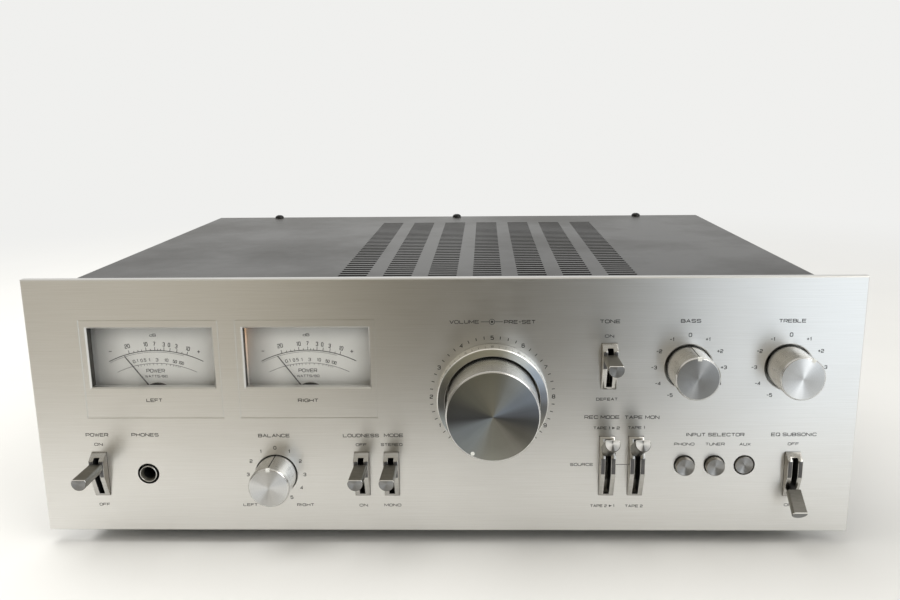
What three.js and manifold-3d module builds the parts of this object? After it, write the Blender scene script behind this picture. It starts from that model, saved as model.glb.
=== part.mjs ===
// Integrated amplifier with two power meters, lever switches and turned aluminium knobs.
// Lengths are in millimetres and angles in degrees. +Z is up, the front panel faces -Y.
// Inside the model, depth y is counted back from the panel's front face, and heights on the
// panel from its lower edge. The finished group stands on z = 0 with its box centred in X and Y.

import * as THREE from 'three';
import { mergeVertices } from 'three/addons/utils/BufferGeometryUtils.js';
import Module from 'manifold-3d';

const wasm = await Module();
wasm.setup();

// Clearances and counts that many pieces share
const fitGap = 0.3;
const overrun = 4;
const roundSteps = 40;
const smallSteps = 20;
const tinySteps = 12;

// Front panel: a thick aluminium plate, lifted off the floor by the feet
const panel = { width: 450, height: 145.5, thick: 4.5, lift: 8, edgeBevel: 0.6 };
const panelBoss = { radius: 4, acrossInset: 14, upInset: 9 };

// Steel sheets of the case
const subpanel = { gap: 2, thick: 1.5 };
const cover = { sideInset: 19, topDrop: 3, rear: 273.5, sheet: 1.2, bendRadius: 3 };
const chassis = { thick: 1.5, lift: 3, railHeight: 18, railThick: 1.5 };
const rearPanel = { thick: 1.5, coverOverhang: 1, flangeDepth: 17 };

// Seven banks of cross slits in the cover's top, centred a little to the right of the middle
const vent = { bankWidth: 16, bankPitch: 25, banksMiddle: 25, slit: 3, pitch: 6, first: 15, last: 238 };
const ventBankCount = 7;

const coverScrew = { sideInset: 54, inset: 3.5, headRadius: 3.6, headHeight: 2.2, shankRadius: 1.5,
  length: 8, holeGap: 0.4 };
const foot = { radius: 15, topRadius: 13, edge: 1.5, sideInset: 41, frontInset: 38, rearInset: 35.5 };

// Rotary controls: each knob is turned in one piece with its spindle
const volumeKnob = { radius: 24.3, reach: 30.5, chamfer: 1.4, back: 3, spindleRadius: 3, spindleGrip: 13.7 };
const volumeDot = { radius: 1.1, depth: 0.5, inset: 2.6 };
const volumeDotAngle = -150;
const toneKnob = { radius: 11.7, reach: 20, chamfer: 0.8, back: 1.6, spindleRadius: 3, spindleGrip: 9.7 };
const balanceKnob = { radius: 11.2, reach: 17, chamfer: 0.8, back: 1.6, spindleRadius: 3, spindleGrip: 9.7 };
const knobGroove = { width: 1.1, depth: 0.6 };
const presetRing = { boreGap: 1.2, faceWidth: 4, edge: 0.35, flare: 0.25, collarWall: 1.5, reach: 9,
  collarGap: 0.9 };
const toneHole = { gap: 0.9, bevel: 0.6 };
const balanceHole = { gap: 0.5, bevel: 0.3 };
const volumeControl = { radius: 15, depth: 26 };
const smallControl = { radius: 12, depth: 18 };
const controlBush = { wall: 1.2, gap: 0.6 };

// Lever switches: a D-section lever on a thin arm, in a slotted housing with sloped faces
const lever = { pivotDepth: 14.4, rootRadius: 3.9, tipRadius: 4.1, tipEdge: 0.4, flat: 2.1,
  armThick: 2.4, armHalf: 3, hubRadius: 3.8, pinRadius: 1.5, pinReach: 5.2 };
const twoWayLever = { reach: 25.3, rootGap: 0.5, axisRise: 6 };
const shortLever = { ...twoWayLever, reach: 19.5 };
const threeWayLever = { reach: 25.3, rootGap: 1.7, axisRise: 0 };
const twoWayTravelAngle = 38;
const threeWayTravelAngle = 32;
const housing = { width: 8.3, slotGap: 0.4, holeGap: 0.15, brim: 0.8, flange: 2, pairGap: 8.2,
  tapePairGap: 7.6 };
const twoWayHousing = { top: 12.9, faceTop: 9.6, faceBottom: 0.1, bottom: -12.9, reach: 5.2,
  slotTop: 11.6, slotBottom: -11.4 };
const threeWayHousing = { top: 17.4, faceTop: 7, faceBottom: -2, bottom: -17.4, reach: 6.5,
  slotTop: 15.9, slotBottom: -15.9 };
const leverSwitch = { pinWall: 1.4, halfHeight: 15, slotHalfHeight: 11, depth: 26, pinGap: 0.35 };

// Input selector: three push buttons with dished faces
const button = { radius: 5.1, spacing: 6.2, holeGap: 0.75, reach: 3.4, dish: 0.7, edge: 0.5, back: 2.6,
  stemRadius: 2.4, stemGrip: 12.7, travel: 2.8 };
const selector = { sideMargin: 8, halfHeight: 9, depth: 36 };

const phonesJack = { bushRadius: 5.3, holeGap: 0.8, boreRadius: 3.3, mouthBevel: 0.7, reach: 0.6,
  bodyHalf: 8, depth: 32, boreGrip: 21.7 };

// Power meters: one moulded housing, two clear windows, two needles and one lamp between them
const meterWindow = { width: 68, height: 33.5, bevel: 0.8 };
const meterFrame = { width: 76, height: 56, drop: 6.5, gap: 9, groove: 0.5, grooveDepth: 0.4 };
const meterGlass = { thick: 1.4, sideMargin: 1.4, topMargin: 3, bottomMargin: 3.4 };
const meterHousing = { sideWall: 3.3, topWall: 2.5, bottomWall: 2, depth: 25 };
const meterPivot = { drop: 25.4, coverRadius: 9.35, coverGap: 0.4, coverThick: 0.6, pocketHalf: 12,
  pocketBelow: 5 };
const needle = { length: 30, tail: 3.2, width: 0.7, tipWidth: 0.35, step: 0.2, thick: 0.5, hubRadius: 1.8,
  hubThick: 1, staffRadius: 0.8, staffLength: 8.5, staffGap: 0.3, dialGap: 1 };
const needleRestAngle = -36;
const meterLamp = { rise: 11.7, radius: 2.2, length: 14, boreGap: 0.5, slotHalf: 3.5 };

// Pieces inside the case
const transformer = { sideInset: 66, depthMiddle: 120, coreWidth: 84, coreDepth: 52, coreHeight: 72,
  bellWidth: 64, bellDepth: 84, bellHeight: 54, plateWidth: 100, plateDepth: 70, plateThick: 3 };
const heatSinkSize = { boardInset: 4, width: 162, gap: 12, baseDepth: 6, finDepth: 34, finThick: 2.2,
  height: 92 };
const finCount = 17;
const board = { thick: 1.6, lift: 9, standoffRadius: 4, standoffInset: 8 };
const mainBoardSize = { gap: 30, width: 176, front: 62, depth: 78 };
const preampBoardSize = { rightInset: 10, width: 130, rearInset: 11.5, depth: 62 };
const capacitor = { radius: 17.5, height: 62, edge: 2, boardInset: 32, spacing: 13 };

// Pieces on the rear panel
const jackPlateSize = { rightInset: 12, width: 132, bottom: 44, height: 52, thick: 2 };
const jack = { radius: 4.2, boreRadius: 1.7, reach: 8.5, boreDepth: 8, rowInset: 14 };
const jackColumnCount = 5;
const jackRowCount = 2;
const terminalPlateSize = { gap: 22, width: 102, bottom: 50, height: 42, thick: 3 };
const terminal = { radius: 5.4, neckRadius: 3.6, neck: 3, reach: 12, rowInset: 12 };
const terminalColumnCount = 4;
const terminalRowCount = 2;
const gland = { sideInset: 28, up: 40, boreRadius: 3.7, wall: 2.7, flange: 2.6, catch: 1.2, reach: 6,
  flangeThick: 2.2, inner: 5 };

// Places on the panel, as shares of its width from the middle and of its height from the lower edge
const powerPlaceShares = [-0.426, 0.2371];
const phonesPlaceShares = [-0.3667, 0.2371];
const leftMeterPlaceShares = [-0.3511, 0.6997];
const balancePlaceShares = [-0.2069, 0.2337];
const loudnessPlaceShares = [-0.1, 0.2371];
const volumePlaceShares = [0.0611, 0.5471];
const tonePlaceShares = [0.2007, 0.6646];
const recModePlaceShares = [0.2007, 0.2694];
const bassPlaceShares = [0.2956, 0.6591];
const phonoPlaceShares = [0.2956, 0.2729];
const treblePlaceShares = [0.4142, 0.6591];
const subsonicPlaceShares = [0.4262, 0.2371];
function onPanel([acrossShare, upShare]) {
  return { across: panel.width * acrossShare, up: panel.height * upShare };
}
function beside(place, pitch) {
  return { across: place.across + pitch, up: place.up };
}
const buttonPitch = 2 * button.radius + button.spacing;
const powerPlace = onPanel(powerPlaceShares);
const phonesPlace = onPanel(phonesPlaceShares);
const balancePlace = onPanel(balancePlaceShares);
const loudnessPlace = onPanel(loudnessPlaceShares);
const modePlace = beside(loudnessPlace, housing.width + housing.pairGap);
const volumePlace = onPanel(volumePlaceShares);
const tonePlace = onPanel(tonePlaceShares);
const bassPlace = onPanel(bassPlaceShares);
const treblePlace = onPanel(treblePlaceShares);
const recModePlace = onPanel(recModePlaceShares);
const tapeMonitorPlace = beside(recModePlace, housing.width + housing.tapePairGap);
const phonoPlace = onPanel(phonoPlaceShares);
const tunerPlace = beside(phonoPlace, buttonPitch);
const auxPlace = beside(tunerPlace, buttonPitch);
const subsonicPlace = onPanel(subsonicPlaceShares);
const leftMeterPlace = onPanel(leftMeterPlaceShares);
const rightMeterPlace = beside(leftMeterPlace, meterFrame.width + meterFrame.gap);

// Places inside the case and on its rear, taken from the cover's sides
const coverHalf = panel.width / 2 - cover.sideInset;
const transformerAcross = -coverHalf + transformer.sideInset;
const glandAcross = -coverHalf + gland.sideInset;
const mainBoardLeft = transformerAcross + transformer.plateWidth / 2 + mainBoardSize.gap;
const mainBoard = {
  left: mainBoardLeft,
  right: mainBoardLeft + mainBoardSize.width,
  front: mainBoardSize.front,
  rear: mainBoardSize.front + mainBoardSize.depth,
};
const sinkFront = mainBoard.rear + heatSinkSize.gap;
const preampBoard = {
  left: coverHalf - preampBoardSize.rightInset - preampBoardSize.width,
  right: coverHalf - preampBoardSize.rightInset,
  front: cover.rear - preampBoardSize.rearInset - preampBoardSize.depth,
  rear: cover.rear - preampBoardSize.rearInset,
};
const jackPlate = {
  left: coverHalf - jackPlateSize.rightInset - jackPlateSize.width,
  right: coverHalf - jackPlateSize.rightInset,
  bottom: jackPlateSize.bottom,
  top: jackPlateSize.bottom + jackPlateSize.height,
  thick: jackPlateSize.thick,
};
const terminalPlate = {
  left: jackPlate.left - terminalPlateSize.gap - terminalPlateSize.width,
  right: jackPlate.left - terminalPlateSize.gap,
  bottom: terminalPlateSize.bottom,
  top: terminalPlateSize.bottom + terminalPlateSize.height,
  thick: terminalPlateSize.thick,
};

// Depths and heights that follow from the sizes above
const panelBack = panel.thick + fitGap;
const subpanelFront = panel.thick + subpanel.gap;
const subpanelBack = subpanelFront + subpanel.thick;
const behindSubpanel = subpanelBack + fitGap;
const coverTop = panel.height - cover.topDrop;
const coverInnerTop = coverTop - cover.sheet;
const innerHalf = coverHalf - cover.sheet - fitGap;
const chassisTop = chassis.lift + chassis.thick;
const onChassis = chassisTop + fitGap;
const boardBottom = chassisTop + board.lift + fitGap;
const onBoard = boardBottom + board.thick + fitGap;
const rearPanelBack = cover.rear - rearPanel.coverOverhang;
const rearPanelFront = rearPanelBack - rearPanel.thick;
const onRearPanel = rearPanelBack + fitGap;
const rearReach = onRearPanel + terminalPlate.thick + terminal.reach;
const depthMiddle = (rearReach - volumeKnob.reach) / 2;
const ringBore = volumeKnob.radius + presetRing.boreGap;
const ringCollar = ringBore + presetRing.collarWall;
const leverSlotHalf = lever.armThick / 2 + housing.slotGap;
const buttonStemEnd = behindSubpanel + button.stemGrip;
const glandBody = gland.boreRadius + gland.wall;
const glassBack = panelBack + meterGlass.thick;
const cavityHalf = meterWindow.width / 2 + meterGlass.sideMargin + fitGap;
const cavityTop = meterWindow.height / 2 + meterGlass.topMargin + fitGap;
const cavityBottom = -meterWindow.height / 2 - meterGlass.bottomMargin - fitGap;
const meterHousingLeft = leftMeterPlace.across - cavityHalf - meterHousing.sideWall;
const meterHousingRight = rightMeterPlace.across + cavityHalf + meterHousing.sideWall;
const meterHousingTop = leftMeterPlace.up + cavityTop + meterHousing.topWall;
const meterHousingBottom = leftMeterPlace.up - meterPivot.drop - meterPivot.coverRadius
  - meterHousing.bottomWall;
const pivotCoverFront = glassBack + meterPivot.coverGap;
const pivotCoverBack = pivotCoverFront + meterPivot.coverThick;
const needleHubFront = pivotCoverBack + fitGap;
const needleStaffEnd = needleHubFront + needle.staffLength;
const dialDepth = needleHubFront + needle.hubThick + needle.dialGap;

// Finishes
const finish = {
  panelSilver: { color: 0xc9c8c4, roughness: 0.35, metalness: 1 },
  knobSilver: { color: 0xb9b9b8, roughness: 0.25, metalness: 1 },
  plated: { color: 0xaeaba6, roughness: 0.15, metalness: 1 },
  darkPaint: { color: 0x4c4b49, roughness: 0.55, metalness: 0.1 },
  blackSteel: { color: 0x202020, roughness: 0.5, metalness: 0.4 },
  zincSteel: { color: 0xa5a59c, roughness: 0.4, metalness: 0.9 },
  blackPlastic: { color: 0x161616, roughness: 0.5, metalness: 0 },
  dialGrey: { color: 0xc3c6c6, roughness: 0.7, metalness: 0 },
  clear: { color: 0xdfe6e6, roughness: 0.05, metalness: 0, transparent: true, opacity: 0.25 },
  lampGlow: { color: 0xffb060, roughness: 0.4, metalness: 0 },
  rubber: { color: 0x1b1b1b, roughness: 0.9, metalness: 0 },
  boardBrown: { color: 0x8a6a3c, roughness: 0.7, metalness: 0 },
  sleeveBlue: { color: 0x27405c, roughness: 0.5, metalness: 0 },
  sinkAluminium: { color: 0x8f9296, roughness: 0.5, metalness: 0.9 },
  whitePlastic: { color: 0xd8d4c8, roughness: 0.6, metalness: 0 },
};

const amplifier = new THREE.Group();
amplifier.position.set(0, -depthMiddle, panel.lift);

const radians = THREE.MathUtils.degToRad;

// Closed geometry to solid: only positions stay, shared corners are merged, flat slivers dropped
function solidOf(geometry) {
  const bare = new THREE.BufferGeometry();
  bare.setAttribute('position', geometry.getAttribute('position').clone());
  if (geometry.index) bare.setIndex(geometry.index.clone());
  const merged = mergeVertices(bare);
  const corners = merged.index.array;
  const kept = [];
  for (let i = 0; i < corners.length; i += 3) {
    const [a, b, c] = corners.slice(i, i + 3);
    if (a !== b && b !== c && c !== a) kept.push(a, b, c);
  }
  return new wasm.Manifold(new wasm.Mesh({
    numProp: 3,
    vertProperties: Float32Array.from(merged.getAttribute('position').array),
    triVerts: Uint32Array.from(kept),
  }));
}

// Solid back to a geometry with flat-shaded normals
function geometryOf(solid) {
  const mesh = solid.getMesh();
  const indexed = new THREE.BufferGeometry();
  indexed.setAttribute('position', new THREE.BufferAttribute(mesh.vertProperties, mesh.numProp));
  indexed.setIndex(new THREE.BufferAttribute(mesh.triVerts, 1));
  const geometry = indexed.toNonIndexed();
  geometry.computeVertexNormals();
  return geometry;
}

function addPiece(name, solid, finishName, parent = amplifier) {
  const mesh = new THREE.Mesh(geometryOf(solid), new THREE.MeshStandardMaterial(finish[finishName]));
  mesh.name = name;
  parent.add(mesh);
  return mesh;
}

// Box between two values along each axis
function block([left, right], [front, back], [bottom, top]) {
  const geometry = new THREE.BoxGeometry(right - left, back - front, top - bottom);
  geometry.translate((left + right) / 2, (front + back) / 2, (bottom + top) / 2);
  return solidOf(geometry);
}

// Turned piece: a profile of [radius, depth] points spun about a line along Y
function turned(profile, steps, across = 0, up = 0) {
  const points = profile.map(([radius, depth]) => new THREE.Vector2(radius, depth));
  const geometry = new THREE.LatheGeometry(points, steps);
  geometry.translate(across, 0, up);
  return solidOf(geometry);
}

// Plain round bar along Y
function roundBar(radius, front, back, steps, across = 0, up = 0) {
  return turned([[0, front], [radius, front], [radius, back], [0, back]], steps, across, up);
}

// Piece turned about an upright line: a profile of [radius, height] points
function turnedUpright(profile, steps, across, depth) {
  const points = profile.map(([radius, height]) => new THREE.Vector2(radius, height));
  const geometry = new THREE.LatheGeometry(points, steps);
  geometry.rotateX(Math.PI / 2);
  geometry.translate(across, depth, 0);
  return solidOf(geometry);
}

// Round bar along X
function crossBar(radius, left, right, steps, depth = 0, up = 0) {
  const geometry = new THREE.CylinderGeometry(radius, radius, right - left, steps);
  geometry.rotateZ(-Math.PI / 2);
  geometry.translate((left + right) / 2, depth, up);
  return solidOf(geometry);
}

// Outline of [depth, up] points, extruded across between two values
function sideProfile(points, left, right) {
  const shape = new THREE.Shape(points.map(([depth, up]) => new THREE.Vector2(depth, up)));
  const geometry = new THREE.ExtrudeGeometry(shape, { depth: right - left, bevelEnabled: false });
  const turn = new THREE.Matrix4().makeBasis(
    new THREE.Vector3(0, 1, 0), new THREE.Vector3(0, 0, 1), new THREE.Vector3(1, 0, 0));
  geometry.applyMatrix4(turn);
  geometry.translate(left, 0, 0);
  return solidOf(geometry);
}

// Shape drawn in [across, up], extruded from a front depth to a back depth
function frontProfile(shape, front, back, curveSteps = 4) {
  const geometry = new THREE.ExtrudeGeometry(shape,
    { depth: back - front, bevelEnabled: false, curveSegments: curveSteps });
  geometry.rotateX(Math.PI / 2);
  geometry.translate(0, back, 0);
  return solidOf(geometry);
}

// Four-sided block whose front and back faces differ in size, about a middle point
function taperedBlock(place, frontSize, backSize, front, back) {
  const geometry = new THREE.BoxGeometry(backSize.width, back - front, backSize.height);
  const corner = geometry.getAttribute('position');
  for (let i = 0; i < corner.count; i += 1) {
    if (corner.getY(i) < 0) {
      corner.setX(i, Math.sign(corner.getX(i)) * frontSize.width / 2);
      corner.setZ(i, Math.sign(corner.getZ(i)) * frontSize.height / 2);
    }
  }
  geometry.translate(place.across, (front + back) / 2, place.up);
  return solidOf(geometry);
}

function joined(solids) {
  return solids.reduce((whole, piece) => whole.add(piece));
}

function without(solid, cutters) {
  return solid.subtract(joined(cutters));
}

// Round hole through the panel with a bevelled mouth
function bevelledHole(place, radius, bevel, steps) {
  const wide = radius + bevel + overrun;
  return turned([[0, -overrun], [wide, -overrun], [radius, bevel],
    [radius, panel.thick + overrun], [0, panel.thick + overrun]], steps, place.across, place.up);
}

// Front panel

function meterWindowCut(place) {
  const narrow = { width: meterWindow.width, height: meterWindow.height };
  const wide = {
    width: narrow.width + 2 * (meterWindow.bevel + overrun),
    height: narrow.height + 2 * (meterWindow.bevel + overrun),
  };
  const bevel = taperedBlock(place, wide, narrow, -overrun, meterWindow.bevel);
  const through = taperedBlock(place, narrow, narrow, 0, panel.thick + overrun);
  return bevel.add(through);
}

function meterFrameGroove(place) {
  const middle = { across: place.across, up: place.up - meterFrame.drop };
  const outer = { width: meterFrame.width, height: meterFrame.height };
  const inner = {
    width: outer.width - 2 * meterFrame.groove,
    height: outer.height - 2 * meterFrame.groove,
  };
  const ring = taperedBlock(middle, outer, outer, -overrun, meterFrame.grooveDepth);
  return ring.subtract(taperedBlock(middle, inner, inner, -2 * overrun, 2 * overrun));
}

function housingHole(place, form) {
  const half = housing.width / 2 + housing.holeGap;
  return block([place.across - half, place.across + half], [-overrun, panel.thick + overrun],
    [place.up + form.bottom - housing.holeGap, place.up + form.top + housing.holeGap]);
}

const twoWaySwitches = { power: powerPlace, loudness: loudnessPlace, mode: modePlace, tone: tonePlace,
  subsonic: subsonicPlace };
const threeWaySwitches = { rec_mode: recModePlace, tape_monitor: tapeMonitorPlace };
const buttons = { phono: phonoPlace, tuner: tunerPlace, aux: auxPlace };

function frontPanel() {
  const middle = { across: 0, up: panel.height / 2 };
  const back = { width: panel.width, height: panel.height };
  const face = {
    width: panel.width - 2 * panel.edgeBevel,
    height: panel.height - 2 * panel.edgeBevel,
  };
  const plate = taperedBlock(middle, face, back, 0, panel.edgeBevel)
    .add(taperedBlock(middle, back, back, panel.edgeBevel, panel.thick));
  const bosses = [];
  for (const side of [-1, 1]) {
    for (const up of [panelBoss.upInset, panel.height - panelBoss.upInset]) {
      const across = side * (innerHalf - panelBoss.acrossInset);
      bosses.push(roundBar(panelBoss.radius, panel.thick / 2, subpanelFront - fitGap, tinySteps, across, up));
    }
  }
  const cuts = [
    meterWindowCut(leftMeterPlace), meterWindowCut(rightMeterPlace),
    meterFrameGroove(leftMeterPlace), meterFrameGroove(rightMeterPlace),
    bevelledHole(balancePlace, balanceKnob.radius + balanceHole.gap, balanceHole.bevel, roundSteps),
    bevelledHole(bassPlace, toneKnob.radius + toneHole.gap, toneHole.bevel, roundSteps),
    bevelledHole(treblePlace, toneKnob.radius + toneHole.gap, toneHole.bevel, roundSteps),
    bevelledHole(volumePlace, ringCollar + fitGap, 0, roundSteps),
    bevelledHole(phonesPlace, phonesJack.bushRadius + phonesJack.holeGap, 0, smallSteps),
    ...Object.values(buttons).map(
      (place) => bevelledHole(place, button.radius + button.holeGap, 0, smallSteps)),
    ...Object.values(twoWaySwitches).map((place) => housingHole(place, twoWayHousing)),
    ...Object.values(threeWaySwitches).map((place) => housingHole(place, threeWayHousing)),
  ];
  return without(joined([plate, ...bosses]), cuts);
}

addPiece('front_panel', frontPanel(), 'panelSilver');

// Steel sub-panel that carries the controls

// Upright sheet with its two top corners rounded, as the cover is bent over them
function archOutline(halfWidth, bottom, top, radius) {
  const shape = new THREE.Shape();
  shape.moveTo(-halfWidth, bottom);
  shape.lineTo(halfWidth, bottom);
  shape.lineTo(halfWidth, top - radius);
  shape.absarc(halfWidth - radius, top - radius, radius, 0, Math.PI / 2, false);
  shape.lineTo(-halfWidth + radius, top);
  shape.absarc(-halfWidth + radius, top - radius, radius, Math.PI / 2, Math.PI, false);
  return shape;
}

function leverOpening(place) {
  const half = leverSlotHalf + fitGap;
  return block([place.across - half, place.across + half],
    [subpanelFront - overrun, subpanelBack + overrun],
    [place.up - leverSwitch.slotHalfHeight, place.up + leverSwitch.slotHalfHeight]);
}

// Bush of a rotary control: the spindle runs in it with the shared gap
function bushRadius(knob) {
  return knob.spindleRadius + fitGap + controlBush.wall;
}

function sheetHole(place, radius) {
  return roundBar(radius, subpanelFront - overrun, subpanelBack + overrun, smallSteps,
    place.across, place.up);
}

function frontSubpanel() {
  const sheet = frontProfile(archOutline(innerHalf, onChassis, coverInnerTop - fitGap, cover.bendRadius),
    subpanelFront, subpanelBack);
  const meterCut = block([meterHousingLeft - fitGap, meterHousingRight + fitGap],
    [subpanelFront - overrun, subpanelBack + overrun],
    [meterHousingBottom - fitGap, meterHousingTop + fitGap]);
  const cuts = [
    meterCut,
    sheetHole(volumePlace, bushRadius(volumeKnob) + fitGap),
    sheetHole(balancePlace, bushRadius(balanceKnob) + fitGap),
    ...[bassPlace, treblePlace].map((place) => sheetHole(place, bushRadius(toneKnob) + fitGap)),
    sheetHole(phonesPlace, phonesJack.bushRadius + fitGap),
    ...Object.values(buttons).map((place) => sheetHole(place, button.stemRadius + fitGap)),
    ...Object.values(twoWaySwitches).map(leverOpening),
    ...Object.values(threeWaySwitches).map(leverOpening),
  ];
  return without(sheet, cuts);
}

addPiece('front_subpanel', frontSubpanel(), 'zincSteel');

// Case: chassis base, rear panel and top cover

function standoffs(boardSize) {
  const places = [];
  for (const across of [boardSize.left + board.standoffInset, boardSize.right - board.standoffInset]) {
    for (const depth of [boardSize.front + board.standoffInset, boardSize.rear - board.standoffInset]) {
      places.push(turnedUpright([[0, chassis.lift + chassis.thick / 2],
        [board.standoffRadius, chassis.lift + chassis.thick / 2],
        [board.standoffRadius, boardBottom - fitGap], [0, boardBottom - fitGap]], tinySteps, across, depth));
    }
  }
  return places;
}

function chassisBase() {
  const plate = block([-innerHalf, innerHalf], [panelBack, rearPanelFront - fitGap],
    [chassis.lift, chassisTop]);
  const railFront = behindSubpanel;
  const rails = [-1, 1].map((side) => {
    const edges = [side * innerHalf, side * (innerHalf - chassis.railThick)].sort((a, b) => a - b);
    return block(edges, [railFront, rearPanelFront - fitGap],
      [chassis.lift, chassisTop + chassis.railHeight]);
  });
  return joined([plate, ...rails, ...standoffs(mainBoard), ...standoffs(preampBoard)]);
}

addPiece('chassis_base', chassisBase(), 'zincSteel');

const screwDepth = cover.rear - coverScrew.inset;
const screwSpread = coverHalf - coverScrew.sideInset;
const screwAcross = [-screwSpread, 0, screwSpread];
const screwHoleRadius = coverScrew.shankRadius + coverScrew.holeGap;

function screwHoles() {
  return screwAcross.map((across) => turnedUpright([[0, coverInnerTop - 2 * overrun],
    [screwHoleRadius, coverInnerTop - 2 * overrun], [screwHoleRadius, coverTop + overrun],
    [0, coverTop + overrun]], tinySteps, across, screwDepth));
}

function rearPanelSheet() {
  const top = coverInnerTop - fitGap;
  const flangeFront = rearPanelBack - rearPanel.flangeDepth;
  const upright = frontProfile(archOutline(innerHalf, chassis.lift, top, cover.bendRadius),
    rearPanelFront, rearPanelBack);
  const flangeHalf = innerHalf - cover.bendRadius;
  const flange = block([-flangeHalf, flangeHalf], [flangeFront, rearPanelBack], [top - rearPanel.thick, top]);
  const glandHole = roundBar(glandBody + fitGap, rearPanelFront - overrun, rearPanelBack + overrun,
    smallSteps, glandAcross, gland.up);
  return without(upright.add(flange), [glandHole, ...screwHoles()]);
}

addPiece('rear_panel', rearPanelSheet(), 'blackSteel');

function ventSlits() {
  const slits = [];
  const rowCount = Math.floor((vent.last - vent.first) / vent.pitch);
  for (let bank = 0; bank < ventBankCount; bank += 1) {
    const middle = vent.banksMiddle + (bank - (ventBankCount - 1) / 2) * vent.bankPitch;
    for (let row = 0; row < rowCount; row += 1) {
      const front = vent.first + row * vent.pitch;
      const geometry = new THREE.BoxGeometry(vent.bankWidth, vent.slit, cover.sheet + overrun);
      geometry.translate(middle, front + vent.slit / 2, coverTop - cover.sheet / 2);
      slits.push(solidOf(geometry));
    }
  }
  return slits;
}

function topCover() {
  const outer = frontProfile(archOutline(coverHalf, chassis.lift, coverTop, cover.bendRadius),
    panelBack, cover.rear);
  const innerOutline = archOutline(coverHalf - cover.sheet, chassis.lift, coverInnerTop,
    cover.bendRadius - cover.sheet);
  const inner = frontProfile(innerOutline, panelBack - overrun, cover.rear + overrun);
  const below = block([-coverHalf + cover.sheet, coverHalf - cover.sheet],
    [panelBack - overrun, cover.rear + overrun], [chassis.lift - overrun, chassis.lift + overrun]);
  return without(outer, [inner, below, ...screwHoles(), ...ventSlits()]);
}

addPiece('top_cover', topCover(), 'darkPaint');

const screwNames = ['cover_screw_left', 'cover_screw_centre', 'cover_screw_right'];
screwAcross.forEach((across, i) => {
  const under = coverTop + fitGap;
  const domeShare = 0.6;
  const dome = under + coverScrew.headHeight;
  const screw = turnedUpright([[0, under - coverScrew.length], [coverScrew.shankRadius,
    under - coverScrew.length], [coverScrew.shankRadius, under], [coverScrew.headRadius, under],
  [coverScrew.headRadius, under + coverScrew.headHeight * domeShare],
  [coverScrew.headRadius * domeShare, dome], [0, dome]], tinySteps, across, screwDepth);
  addPiece(screwNames[i], screw, 'blackSteel');
});

const footAcross = coverHalf - foot.sideInset;
const feet = {
  foot_front_left: [-footAcross, foot.frontInset],
  foot_front_right: [footAcross, foot.frontInset],
  foot_rear_left: [-footAcross, cover.rear - foot.rearInset],
  foot_rear_right: [footAcross, cover.rear - foot.rearInset],
};
for (const [name, [across, depth]] of Object.entries(feet)) {
  const floor = -panel.lift;
  const top = chassis.lift - fitGap;
  addPiece(name, turnedUpright([[0, floor], [foot.radius - foot.edge, floor],
    [foot.radius, floor + foot.edge], [foot.topRadius, top], [0, top]], smallSteps, across, depth), 'rubber');
}

// Rotary controls

function knobProfile(size) {
  return [[0, -size.reach], [size.radius - size.chamfer, -size.reach],
    [size.radius, -size.reach + size.chamfer], [size.radius, size.back], [size.spindleRadius, size.back],
    [size.spindleRadius, behindSubpanel + size.spindleGrip], [0, behindSubpanel + size.spindleGrip]];
}

function groovedKnob(size) {
  const knob = turned(knobProfile(size), roundSteps);
  const groove = block([-knobGroove.width / 2, knobGroove.width / 2],
    [-size.reach - overrun, size.back + overrun],
    [size.radius - knobGroove.depth, size.radius + overrun]);
  return knob.subtract(groove);
}

function volumeKnobSolid() {
  const knob = turned(knobProfile(volumeKnob), roundSteps);
  const dotRadius = volumeKnob.radius - volumeDot.inset;
  const turn = radians(volumeDotAngle);
  const dot = roundBar(volumeDot.radius, -volumeKnob.reach - overrun, -volumeKnob.reach + volumeDot.depth,
    tinySteps, dotRadius * Math.sin(turn), dotRadius * Math.cos(turn));
  return knob.subtract(dot);
}

function presetRingSolid() {
  const face = ringBore + presetRing.faceWidth;
  const brow = face + presetRing.edge;
  const end = subpanelFront - presetRing.collarGap;
  return turned([[ringBore, end], [ringBore, -presetRing.reach], [face, -presetRing.reach],
    [brow, -presetRing.reach + presetRing.edge], [brow + presetRing.flare, -fitGap], [ringCollar, -fitGap],
    [ringCollar, end], [ringBore, end]], roundSteps);
}

function rotaryControl(size, knob) {
  const bore = knob.spindleRadius + fitGap;
  const bush = bushRadius(knob);
  const bushFront = knob.back + controlBush.gap;
  const boreEnd = behindSubpanel + knob.spindleGrip + fitGap;
  const back = behindSubpanel + size.depth;
  return turned([[bore, bushFront], [bush, bushFront], [bush, behindSubpanel], [size.radius, behindSubpanel],
    [size.radius, back], [0, back], [0, boreEnd], [bore, boreEnd], [bore, bushFront]], smallSteps);
}

function placeOnPanel(mesh, place, restAngle = 0) {
  mesh.position.set(place.across, 0, place.up);
  mesh.rotation.y = radians(restAngle);
}

const bassRestAngle = 12;
const trebleRestAngle = 35;
placeOnPanel(addPiece('volume_knob', volumeKnobSolid(), 'knobSilver'), volumePlace);
placeOnPanel(addPiece('preset_ring', presetRingSolid(), 'knobSilver'), volumePlace);
placeOnPanel(addPiece('volume_control', rotaryControl(volumeControl, volumeKnob), 'zincSteel'),
  volumePlace);

const smallKnobs = {
  balance: [balanceKnob, balancePlace, 0],
  bass: [toneKnob, bassPlace, bassRestAngle],
  treble: [toneKnob, treblePlace, trebleRestAngle],
};
for (const [name, [size, place, restAngle]] of Object.entries(smallKnobs)) {
  placeOnPanel(addPiece(`${name}_knob`, groovedKnob(size), 'knobSilver'), place, restAngle);
  placeOnPanel(addPiece(`${name}_control`, rotaryControl(smallControl, size), 'zincSteel'), place);
}

// Lever switches

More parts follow.
